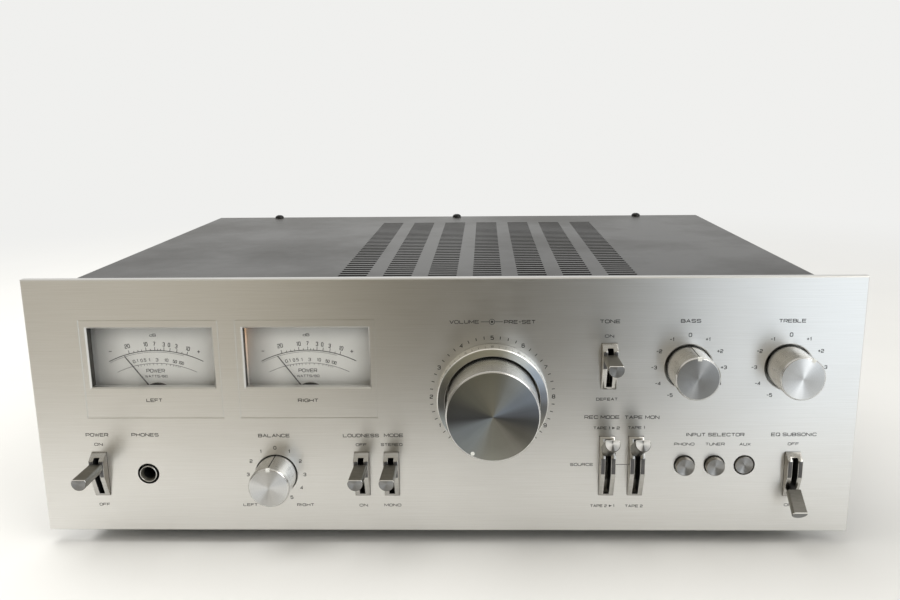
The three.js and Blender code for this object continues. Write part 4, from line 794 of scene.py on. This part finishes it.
# Input selector: three push buttons with dished, lathe-faced ends, each in a plain round hole.
# The last one is pressed in, and stands less proud than the others.
# The buttons' sides are toned darker than the knobs' as painted shade in their holes, and their faces darker as a
# painted reflection.
button_side = lathe_finish("button_side", (0.30, 0.285, 0.26), 0.3)
button_up = 39.7
for name, across, pushed in (("phono", 133.0, 0.0), ("tuner", 149.4, 0.0), ("aux", 165.8, 2.8)):
    profile = [(0, -2.75), (1.8, -2.8), (3.4, -3.0), (4.5, -3.3), (4.7, -3.38), (4.95, -3.25), (5.1, -2.9),
               (5.1, 2.3), (4.9, 2.6), (2.4, 2.6), (2.4, 7.0), (0, 7.0)]
    mesh = turned_mesh([(r, d + pushed) for r, d in profile], 64, across, button_up, 24)
    face_slots(mesh, lambda face: face.normal.y < -0.9)
    button_face = spun_finish(name + "_button_face", across, button_up, 0.33)
    keep(show(name + "_button_turned", mesh, button_side, button_face), name + "_button", "turned_aluminium",
         name + "_button")

# Phones jack: a plated bush through the panel with a black moulded body and bore behind it.
# The bore takes a quarter-inch plug, with its springs just inside.
jack_middle = (-165.0, 34.5)
bush_cone = toned_finish("bush_cone", (0.13, 0.125, 0.105), (0.22, 0.21, 0.185), patches, 0.002, 0.5,
                         Roughness=0.45, Metallic=0.6)
mesh = turned_mesh([(3.35, 12), (3.35, 1.9), (4.2, -0.35), (4.35, -0.55), (4.55, -0.6), (4.75, -0.5), (4.85, -0.3),
                    (4.85, 3.0), (5.3, 3.2), (5.3, 12), (3.35, 12)], 64, *jack_middle, 24)
centre = at(jack_middle[0], 0, jack_middle[1])
face_slots(mesh, lambda face: math.hypot(face.center.x - centre.x, face.center.z - centre.z) * 1000 < 4.19,
           lambda face: face.center.y > panel_face + 0.0004)
keep(show("phones_bush", mesh, plated, bush_cone, black), "case", "plated_housing")
mesh = turned_mesh([(3.32, 1.5), (3.32, 29.5), (0, 29.5), (0, 30.5), (7.9, 30.5), (7.9, 8.4), (5.4, 8.4),
                    (5.4, 12.2), (3.36, 12.2), (3.34, 1.5), (3.32, 1.5)], 48, *jack_middle, 24)
keep(show("phones_body", mesh, black), "case", "plated_housing", "phones_jack")

# Power meters: one pale moulding holds both dials behind clear windows, lit by one lamp between.
# The scales and words are printed on the dial; a black cap hides each movement.
dial_grey, tree, surface = new_finish("dial_grey")
spot = where(tree)
places = split(tree, spot)
dial_tone = blend_tones(tree, use_group(tree, spot, patches, 0.02, 0.5), (0.66, 0.65, 0.625), (0.61, 0.60, 0.575))
# The window walls in front of the dial are painted dark as shade, the dial is painted darker towards its top as the
# shadow of the window's top edge, and darker near each window's left edge as shade.
walls_end, walls_foot, window_start, window_pitch = 0.0090, 0.0815, -0.1925, 0.085
before_dial = calculate(tree, "LESS_THAN", places["Y"], panel_face + walls_end)
over_sill = calculate(tree, "GREATER_THAN", places["Z"], panel_edge + walls_foot)
walls_painted_shade = blend_tones(tree, times(tree, before_dial, over_sill), dial_tone, (0.09, 0.078, 0.065))
painted_top_shadow = rescale(tree, places["Z"], panel_edge + 0.108, panel_edge + 0.1195, 1.0, 0.62, smooth=True)
in_window = calculate(tree, "MODULO", calculate(tree, "ADD", places["X"], -window_start), window_pitch)
painted_left_shade = rescale(tree, in_window, 0.0, 0.02, 0.5, 1.06, smooth=True)
feed(surface, Base_Color=steer(tree, "SCALE", walls_painted_shade, times(tree, painted_top_shadow, painted_left_shade)), Roughness=0.6)
finish_nodes(dial_grey, "meter_housing")

dial_words = (("20", -15.5, 106.0, 2.7, 2.1, -12), ("10", -5.2, 107.1, 2.0, 2.1, -4), ("7", -0.3, 107.3, 0.95, 2.1),
              ("3", 5.0, 107.0, 0.95, 2.1, 4), ("0", 7.9, 106.7, 0.95, 2.1, 6), ("3", 11.9, 105.9, 0.95, 2.1, 9),
              ("10", 18.2, 104.5, 2.0, 2.1, 14), ("-", -25.2, 103.0, 1.6, 2.2), ("+", 24.1, 102.7, 1.6, 2.2),
              ("dB", -0.8, 112.3, 3.4, 1.4), ("0.1", -11.5, 97.4, 2.9, 1.6, -12), ("0.5", -7.2, 97.9, 3.0, 1.6, -7),
              ("1", -3.7, 98.1, None, 1.6, -4), ("3", 0.5, 98.1, None, 1.6), ("10", 5.7, 97.9, 1.9, 1.6, 6),
              ("50", 10.4, 97.1, 2.0, 1.6, 11), ("100", 13.9, 96.3, 2.7, 1.6, 15), ("POWER", -0.8, 91.8, 10.1, 1.8),
              ("WATTS/8Ω", -0.7, 88.6, 12.4, 1.25))
decibel_ticks = ((-14.6, 2.0), (-11.9, 1.0), (-9.6, 1.0), (-7.5, 1.0), (-5.1, 2.0), (-2.7, 1.0), (-0.2, 2.0),
                 (1.4, 1.0), (2.9, 1.0), (4.8, 2.0), (8.1, 2.0), (11.8, 2.0), (14.6, 1.0), (17.4, 2.0))
watt_ticks = [(x, 0.0) for x in (-10.4, -8.8, -6.9, -5.3, -3.8, -1.7, 0.4, 3.0, 5.6, 7.8, 9.6, 11.0, 12.2, 13.3)]
print_shift, dial_depth, cap_radius = -0.8, 9.47, 9.35
for side, window_middle in (("left", -158.0), ("right", -73.0)):
    middle = window_middle + print_shift
    centre = (middle, 45.5)
    lines = [(arc_line(centre, 58.0, -27.0, 27.0), 0.45), (arc_line(centre, 57.1, -27.0, 16.0), 0.18),
             (arc_line(centre, 50.6, -26.1, 26.1), 0.24)]
    for ticks, radius, foot, weight in ((decibel_ticks, 58.0, 0.0, 0.34), (watt_ticks, 50.6, -1.0, 0.24)):
        for x, length in ticks:
            tilt = math.degrees(math.asin(x / radius))
            lines.append(([round_places(centre, radius + reach, [tilt])[0] for reach in (foot, length)], weight))
    entries = [(text, middle + x, *rest) for text, x, *rest in dial_words]
    dial_print = ink_film(side + "_dial_print", entries, lines, [], dial_depth, thick=0.02, weight=0.19)
    keep(dial_print, "case", "dial_plastic")
    cap_outline = [(x, max(z, 81.36)) for x, z in round_places((window_middle, 76.4), cap_radius,
                                                               np.linspace(-57.9, 57.9, 33))]
    cap_film = ink_film(side + "_pivot_cap", [], [], [cap_outline], 6.58, black, 0.28)
    settle(cap_film.data)
    keep(cap_film, "case", "black_plastic")

needle_black = toned_finish("needle_black", (0.02, 0.02, 0.02), (0.04, 0.038, 0.035), patches, 0.004, 0.5,
                            Roughness=0.4)
finish_nodes(needle_black, "left_needle", "right_needle")

clear, tree, surface = new_finish("clear_window")
wiped = use_group(tree, where(tree), patches, 0.02, 0.4)
feed(surface, Base_Color=(0.98, 0.99, 0.99, 1), Roughness=calculate(tree, "MULTIPLY_ADD", wiped, 0.05, 0.01),
     Transmission_Weight=1.0, IOR=1.49)
rays = add_node(tree, "LightPath").outputs
passing = calculate(tree, "MAXIMUM", rays["Is Shadow Ray"], rays["Is Diffuse Ray"])
both = add_node(tree, "MixShader", {0: passing, 1: surface.outputs[0],
                                    2: add_node(tree, "BsdfTransparent").outputs[0]})
plug(tree.get_output_node("ALL").inputs[0], both.outputs[0])
finish_nodes(clear, "left_meter_window", "right_meter_window")

lamp_glass, tree, surface = new_finish("lamp_glass")
glow = use_group(tree, where(tree), patches, 0.003, 0.8)
feed(surface, Emission_Color=blend_tones(tree, glow, (1.0, 0.50, 0.16), (1.0, 0.62, 0.28)), Emission_Strength=3.0,
     Base_Color=(1.0, 0.7, 0.4, 1), Roughness=0.15)
finish_nodes(lamp_glass, "meter_lamp")

# Lamp glow: a thin strip on the wall between the meters glows amber, brightest at its top, as painted light from the
# meter lamp. Only the right meter's side of it shows.
painted_lamp_glow, tree, surface = new_finish("amber_diffuser")
lit = rescale(tree, split(tree, where(tree))["Z"], panel_edge + 0.088, panel_edge + 0.119)
warm = add_node(tree, "ValToRGB", {"Fac": lit})
warm.color_ramp.elements[0].color = (0.02, 0.012, 0.006, 1)
warm.color_ramp.elements[1].color = (1.0, 0.52, 0.20, 1)
warm.color_ramp.elements.new(0.6).color = (0.55, 0.27, 0.10, 1)
feed(surface, Emission_Color=warm.outputs[0], Emission_Strength=1.7, Base_Color=(0.55, 0.45, 0.36, 1), Roughness=0.4)
keep(show("lamp_diffuser", box_mesh((-108.68, 6.3, 82.0), (-108.45, 9.4, 121.2)), painted_lamp_glow), "case", "lamp")

# Top cover: bent sheet steel in satin dark grey paint, slit in seven banks over the heat sink.
# The paint is finely textured, with dust patches on it, and it is painted lighter towards the rear as sheen.
paint, tree, surface = new_finish("cover_paint")
spot = where(tree)
dust = use_group(tree, spot, patches, 0.11, 0.7)
# Lighter towards the rear: a painted sheen, with the dust patches in it.
back = rescale(tree, split(tree, spot)["Y"], -0.10, 0.15, 0.25, 1.0)
dust_and_rear_sheen = times(tree, calculate(tree, "MULTIPLY_ADD", dust, 0.5, 0.3), back)
mask = calculate(tree, "MULTIPLY_ADD", use_group(tree, spot, patches, 0.0012, 0.4), 0.2, dust_and_rear_sheen)
texture = add_node(tree, "TexNoise", {"Vector": spot}, Scale=1400.0, Detail=2.0).outputs["Fac"]
feed(surface, Base_Color=blend_tones(tree, mask, (0.011, 0.0105, 0.0095), (0.052, 0.050, 0.045)),
     Specular_IOR_Level=0.34, Roughness=calculate(tree, "MULTIPLY_ADD", dust, 0.12, 0.28),
     Normal=bump(tree, texture, 0.00004, 0.5))
finish_nodes(paint, "top_cover")

# Screws: black machine screws with domed heads and a cross recess hold the cover down.
# Three stand on its rear edge, and three low on each side.
screw_black = toned_finish("screw_black", (0.016, 0.016, 0.016), (0.06, 0.058, 0.055), patches, 0.0015, 0.5,
                           Roughness=(0.15, 0.3), Metallic=0.6)
to_origin = Matrix.Translation(-at(0, 0, 0))


def screw_pieces(name, places, turn, radius, head, shank):
    """One mesh of domed cross-head screws at places in metres, each turned so that its head faces the given way."""
    profile = [(0, -head), (radius * 0.35, -head * 0.97), (radius * 0.65, -head * 0.82), (radius * 0.88, -head * 0.55),
               (radius, -head * 0.2), (radius, 0), (radius * 0.42, 0), (radius * 0.42, shank), (0, shank)]
    arms = [box_mesh((-radius * wide, -head - 1, -radius * tall), (radius * wide, -head * 0.45, radius * tall))
            for wide, tall in ((0.55, 0.12), (0.12, 0.55))]
    source = carve(turned_mesh(profile, 28), arms)
    source.transform(to_origin)
    points, faces = [], []
    for place in places:
        faces += [tuple(len(points) + i for i in p.vertices) for p in source.polygons]
        points += [place + turn @ v.co for v in source.vertices]
    return show(name, settle(mesh_of(points, faces)), screw_black)


face_up = Matrix.Rotation(math.radians(-90), 3, "X")
face_down = Matrix.Rotation(math.radians(90), 3, "X")
face_back = Matrix.Rotation(math.radians(180), 3, "Z")
cover_top, cover_side = 142.5, 206.0
for name, across in (("left", -152.0), ("centre", 0.0), ("right", 152.0)):
    screw = screw_pieces("cover_screw_" + name + "_head", [at(across, 270.0, cover_top + 0.3)], face_up, 3.6, 2.2, 7.6)
    keep(screw, "case", "black_steel", "cover_screw_" + name)
for name, side in (("left", -1), ("right", 1)):
    places = [at(side * (cover_side + 0.02), depth, 12.0) for depth in (24, 140, 256)]
    face_out = Matrix.Rotation(math.radians(90 * side), 3, "Z")
    screws = screw_pieces("side_screws_" + name, places, face_out, 3.4, 1.7, 1.0)
    keep(screws, "case", "black_steel")

# Feet: moulded rubber with a washer and screw sunk in the middle of each.
# They lift the chassis, and the panel's lower edge hangs just in front of them.
rubber, tree, surface = new_finish("foot_rubber")
scuffed = use_group(tree, where(tree), patches, 0.004, 0.5)
feed(surface, Base_Color=blend_tones(tree, scuffed, (0.014, 0.014, 0.014), (0.035, 0.034, 0.032)), Roughness=0.75,
     Normal=bump(tree, scuffed, 0.0002, 0.3))
for name, across, depth in (("front_left", -165, 38), ("front_right", 165, 38), ("rear_left", -165, 238),
                            ("rear_right", 165, 238)):
    mesh = turned_mesh([(0, 4.0), (5.4, 4.0), (5.4, 0.6), (5.9, 0.1), (6.4, 0), (13.6, 0), (14.6, 0.4), (15, 1.4),
                        (14.2, 6.0), (13.1, 10.2), (12.7, 10.65), (0, 10.65)], 64, angle=24)
    place = at(across, depth, 0)
    place.z = 0
    mesh.transform(Matrix.Translation(place) @ face_down.to_4x4() @ to_origin)
    keep(show("foot_" + name + "_moulding", mesh, rubber), "case", "foot_rubber", "foot_" + name)
    screw = screw_pieces("foot_" + name + "_screw", [place + Vector((0, 0, 0.0038))], face_down, 4.2, 2.0, 0.1)
    keep(screw, "case", "black_steel")

# Inside sheet metal: zinc-plated sub-panel and chassis, with switch and control bodies behind.
# They show only through the slots, the vents and from underneath.
zinc, tree, surface = new_finish("zinc_sheet")
spot = where(tree)
spangle = split(tree, add_node(tree, "TexVoronoi", {"Vector": spot}, Scale=180.0).outputs["Color"])["X"]
stain = use_group(tree, spot, patches, 0.05, 0.5)
mask = calculate(tree, "MULTIPLY_ADD", spangle, 0.5, times(tree, stain, 0.5))
feed(surface, Base_Color=blend_tones(tree, mask, (0.50, 0.50, 0.47), (0.62, 0.61, 0.57)), Metallic=0.9,
     Roughness=calculate(tree, "MULTIPLY_ADD", mask, 0.12, 0.36))
finish_nodes(zinc, "front_subpanel", "chassis_base", "volume_control", "balance_control", "bass_control",
             "treble_control", "loudness_mode_switch", "tone_switch", "tape_switch", "subsonic_switch",
             "selector_switch")
finish_nodes(black, "power_switch")

# Rear panel: black painted steel with the connections in two rows.
# Plain words and signs are screened beside them in pale ink.
rear_paint = toned_finish("rear_paint", (0.022, 0.022, 0.022), (0.045, 0.044, 0.042), patches, 0.05, 0.6,
                          grit=(1600.0, 0.00004, 0.5), Roughness=0.45)
finish_nodes(rear_paint, "rear_panel")
pale_ink = toned_finish("pale_ink", (0.62, 0.62, 0.59), (0.50, 0.50, 0.47), patches, 0.002, 0.5, Roughness=0.55)
rear_face = 272.5
rear_words = [(text, -x, 99.5, width, 2.3) for text, x, width in (
    ("PHONO", 180, 9.0), ("TUNER", 154, 8.6), ("AUX", 128, 5.2), ("TAPE 1", 102, 9.0), ("TAPE 2", 76, 9.2))]
rear_words += [(text, -x, 95.2, width, 2.3) for text, x, width in (
    ("L +", -50, 5.0), ("L -", -24, 4.6), ("R +", 2, 5.0), ("R -", 28, 4.6))]
rear_words += [(text, -x, z, None, 2.6) for text, x, z in (
    ("L", 198, 82), ("R", 198, 58), ("A", 43.5, 80), ("B", 43.5, 62))]
rear_words += [("INPUTS", -128, 106, 14, 3.0), ("SPEAKERS", 11, 102, 21, 3.0), ("AC IN", 178, 54, 9.5, 2.6)]
rear_film = ink_film("rear_lettering", rear_words, [], [], 0.0, pale_ink)
rear_film.data.transform(Matrix.Translation((0, at(0, rear_face, 0).y, 0)) @ face_back.to_4x4()
                         @ Matrix.Translation((0, -panel_face, 0)))
keep(rear_film, "case", "cover_paint")

# Sockets and binding posts: plated barrels with coloured rings, in even rows on moulded plates.
# One layout sets out each sort of piece by columns and rows.
set_out, given, result = new_tree(
    "set_out", "GeometryNodeTree",
    [("Geometry", "Geometry"), ("Piece", "Object"), ("Columns", "Int"), ("Rows", "Int"), ("Column Step", "Vector"),
     ("Row Step", "Vector"), ("First Place", "Vector"), ("Scatter", "Float"), ("Finish", "Material")],
    ("Geometry", "Geometry"))
number = add_node(set_out, "GeometryNodeInputIndex").outputs[0]
column = calculate(set_out, "MODULO", number, given["Columns"])
row = calculate(set_out, "FLOOR", calculate(set_out, "DIVIDE", number, given["Columns"]))
placed = steer(set_out, "ADD", steer(set_out, "SCALE", given["Column Step"], column),
               steer(set_out, "SCALE", given["Row Step"], row))
chance = add_node(set_out, "FunctionNodeRandomValue", {0: (-1, -1, 0), 1: (1, 1, 0), "ID": number},
                  data_type="FLOAT_VECTOR", Seed=7).outputs[0]
placed = steer(set_out, "ADD", placed, steer(set_out, "SCALE", chance, given["Scatter"]))
placed = steer(set_out, "ADD", placed, given["First Place"])
total = times(set_out, given["Columns"], given["Rows"])
spots = add_node(set_out, "GeometryNodePoints", {"Count": total, "Position": placed}).outputs[0]
pattern = add_node(set_out, "GeometryNodeObjectInfo", {"Object": given["Piece"]}).outputs["Geometry"]
end_layout(set_out, add_node(set_out, "GeometryNodeInstanceOnPoints", {"Points": spots, "Instance": pattern}),
           given["Finish"], result)


def set_pieces(name, pattern_mesh, columns, rows, column_step, row_step, first, finish, slot, scatter=0.0, smooth=30):
    """pattern_mesh stands at the frame's origin; steps run across, and back or down, in millimetres."""
    pattern = put("pattern", pattern_mesh)
    made = lay_out(set_out, name, Piece=pattern, Columns=columns, Rows=rows,
                   Column_Step=Vector((column_step, 0, 0)) / 1000, Row_Step=Vector((0, *row_step)) / 1000,
                   First_Place=first, Scatter=scatter / 1000, Finish=finish)
    bpy.data.objects.remove(pattern)
    settle(made.data, smooth)
    keep(made, "case", slot)


def upright_pattern(profile, steps=24, turn=None):
    """A spun piece of [radius, height], standing on the frame's origin or turned from there."""
    mesh = turned_mesh([(r, -h) for r, h in profile], steps)
    mesh.transform(to_origin)
    mesh.transform(turn or face_up.to_4x4())
    return settle(mesh)


back_turn = Matrix.Rotation(math.pi, 4, "Z")
plates_foot, jack_face, post_face, column_step = 272.8, 274.8, 275.8, 26
first_jack, upper_jacks, lower_jacks, first_post, upper_posts = 76, 82, 58, -50, 80
jack_step, post_step = (0, lower_jacks - upper_jacks), (0, -18)
plate = carve(box_mesh((62, plates_foot, 44), (194, jack_face, 96)), bevel=0.5)
keep(show("jack_plate", plate, black), "case", "plated_housing", "input_jacks")
barrel = upright_pattern([(1.75, 0), (4.6, 0), (4.6, 1.2), (4.15, 1.4), (4.15, 7.9), (3.85, 8.4), (3.1, 8.4),
                          (3.1, 1.5), (1.75, 1.5), (1.75, 0)], 32, back_turn)
set_pieces("jack_barrels", barrel, 5, 2, column_step, jack_step, at(first_jack, jack_face, upper_jacks), plated,
           "plated_housing")
ring_finishes = {}
for name, up, tone in (("upper", upper_jacks, (0.72, 0.71, 0.67)), ("lower", lower_jacks, (0.42, 0.03, 0.025))):
    ring_finishes[name] = toned_finish(name + "_jack_ring", tone, tuple(c * 0.8 for c in tone), patches, 0.004, 0.6,
                                       Roughness=0.4)
    ring = upright_pattern([(1.72, 0), (3.05, 0), (3.05, 6.9), (1.72, 6.9), (1.72, 0)], 24, back_turn)
    set_pieces(name + "_jack_rings", ring, 5, 1, column_step, (0, 0), at(first_jack, jack_face + 0.05, up),
               ring_finishes[name], "white_plastic")
plate = carve(box_mesh((-62, plates_foot, 50), (40, post_face, 92)), bevel=0.5)
keep(show("terminal_plate", plate, black), "case", "plated_housing", "speaker_terminals")
knurl_turn, knurl_top, knurl_root, cap_rim = math.pi / 18, 0.0052, 0.00485, (0.0048, 0.00525)
for name, first, finish in (("red", first_post, ring_finishes["lower"]), ("black", first_post + column_step, black)):
    cap = upright_pattern([(0, 3.0), (5.2, 3.0), (5.2, 3.4), (4.9, 3.7), (4.9, 10.8), (4.4, 11.9), (2.1, 12.0),
                           (2.0, 10.5), (0, 10.5)], 36, back_turn)
    for vertex in cap.vertices:
        away = math.hypot(vertex.co.x, vertex.co.z)
        if cap_rim[0] < away < cap_rim[1]:
            step = round(math.atan2(vertex.co.x, vertex.co.z) / knurl_turn)
            scale = (knurl_top if step % 2 else knurl_root) / away
            vertex.co.x *= scale
            vertex.co.z *= scale
    set_pieces(name + "_post_caps", cap, 2, 2, 2 * column_step, post_step, at(first, post_face, upper_posts), finish,
               "black_plastic", 0.0, 20)
neck = upright_pattern([(0, 0), (3.6, 0), (3.6, 0.6), (2.4, 0.8), (2.4, 3.05), (0, 3.05)], 24, back_turn)
set_pieces("post_necks", neck, 4, 2, column_step, post_step, at(first_post, post_face, upper_posts), plated,
           "plated_housing")
rear_screws = screw_pieces("rear_screws", [at(x, rear_face + 0.02, z) for x, z in (
    (-198, 20), (-198, 118), (198, 20), (198, 118), (-100, 118), (60, 118), (56, 70), (198.0, 70), (-66.5, 71))],
    face_back, 3.0, 1.6, 0.0)
keep(rear_screws, "case", "black_steel")
finish_nodes(black, "mains_gland")

# Transformer: a laminated core with a taped winding, in a clamping frame painted black.
# It stands on the left of the chassis and takes up most of the height there.
core, tree, surface = new_finish("laminated_core")
spot = where(tree)
sheets = calculate(tree, "SINE", times(tree, split(tree, spot)["Y"], 9000.0))
rusted = use_group(tree, spot, patches, 0.02, 0.5)
feed(surface, Base_Color=blend_tones(tree, rusted, (0.05, 0.05, 0.052), (0.10, 0.075, 0.06)), Metallic=0.5,
     Roughness=0.5, Normal=bump(tree, sheets, 0.0002, 0.5))
finish_nodes(core, "power_transformer")

# Heat sink: a black anodised extrusion across the middle, under the vents.
# Power transistors are screwed to its face.
sink = toned_finish("sink_aluminium", (0.03, 0.03, 0.032), (0.06, 0.06, 0.063), fine_lines, 0.03, 0.0008,
                    Roughness=0.5, Metallic=0.7)
finish_nodes(sink, "heat_sink")
transistor = carve(box_mesh((-7, -4.6, -9), (7, 0, 9)), bevel=0.5)
transistor.transform(to_origin)
set_pieces("power_transistors", transistor, 4, 1, 36, (0, 0), at(-29, 151.95, 60), black, "black_plastic")

# Circuit boards: brown resin boards with rows of resistors and small capacitors.
# The two large smoothing capacitors stand on the main one in shrunk blue sleeves.
resin = toned_finish("board_resin", (0.26, 0.17, 0.08), (0.33, 0.22, 0.11), fine_lines, 0.008, 0.0008, Roughness=0.5)
finish_nodes(resin, "main_board", "preamp_board")
sleeve = toned_finish("capacitor_sleeve", (0.02, 0.05, 0.11), (0.03, 0.07, 0.14), patches, 0.01, 0.5, Roughness=0.3)
finish_nodes(sleeve, "left_capacitor", "right_capacitor")
carbon, tree, surface = new_finish("carbon_resistor")
bands = add_node(tree, "TexWave", {"Vector": where(tree)}, Scale=700.0, Distortion=1.5).outputs["Fac"]
feed(surface, Base_Color=blend_tones(tree, bands, (0.50, 0.38, 0.24), (0.16, 0.06, 0.03)), Roughness=0.4)
resistor = upright_pattern([(0, -3.4), (1.0, -3.3), (1.25, -2.9), (1.1, -2.2), (1.1, 2.2), (1.25, 2.9), (1.0, 3.3),
                            (0, 3.4)], 12, Matrix.Rotation(math.radians(90), 4, "Z"))
can = upright_pattern([(0, 0), (3.0, 0), (3.2, 0.4), (3.2, 9.6), (2.9, 10), (0, 10)], 20)
board_top = 15.4
for name, pattern_mesh, lift, finish, columns, rows, column_step, row_step, across, depth in (
        ("preamp_resistors", resistor, 1.35, carbon, 11, 4, 10.5, 12, 76, 208),
        ("preamp_capacitors", can, 0.02, sleeve, 10, 4, 12, 12, 76, 214),
        ("main_resistors", resistor, 1.35, carbon, 5, 4, 11, 14, 56, 72),
        ("main_capacitors", can, 0.02, sleeve, 4, 3, 14, 17, 60, 79)):
    set_pieces(name, pattern_mesh.copy(), columns, rows, column_step, (row_step, 0),
               at(across, depth, board_top + lift), finish, "sleeve", 0.5)
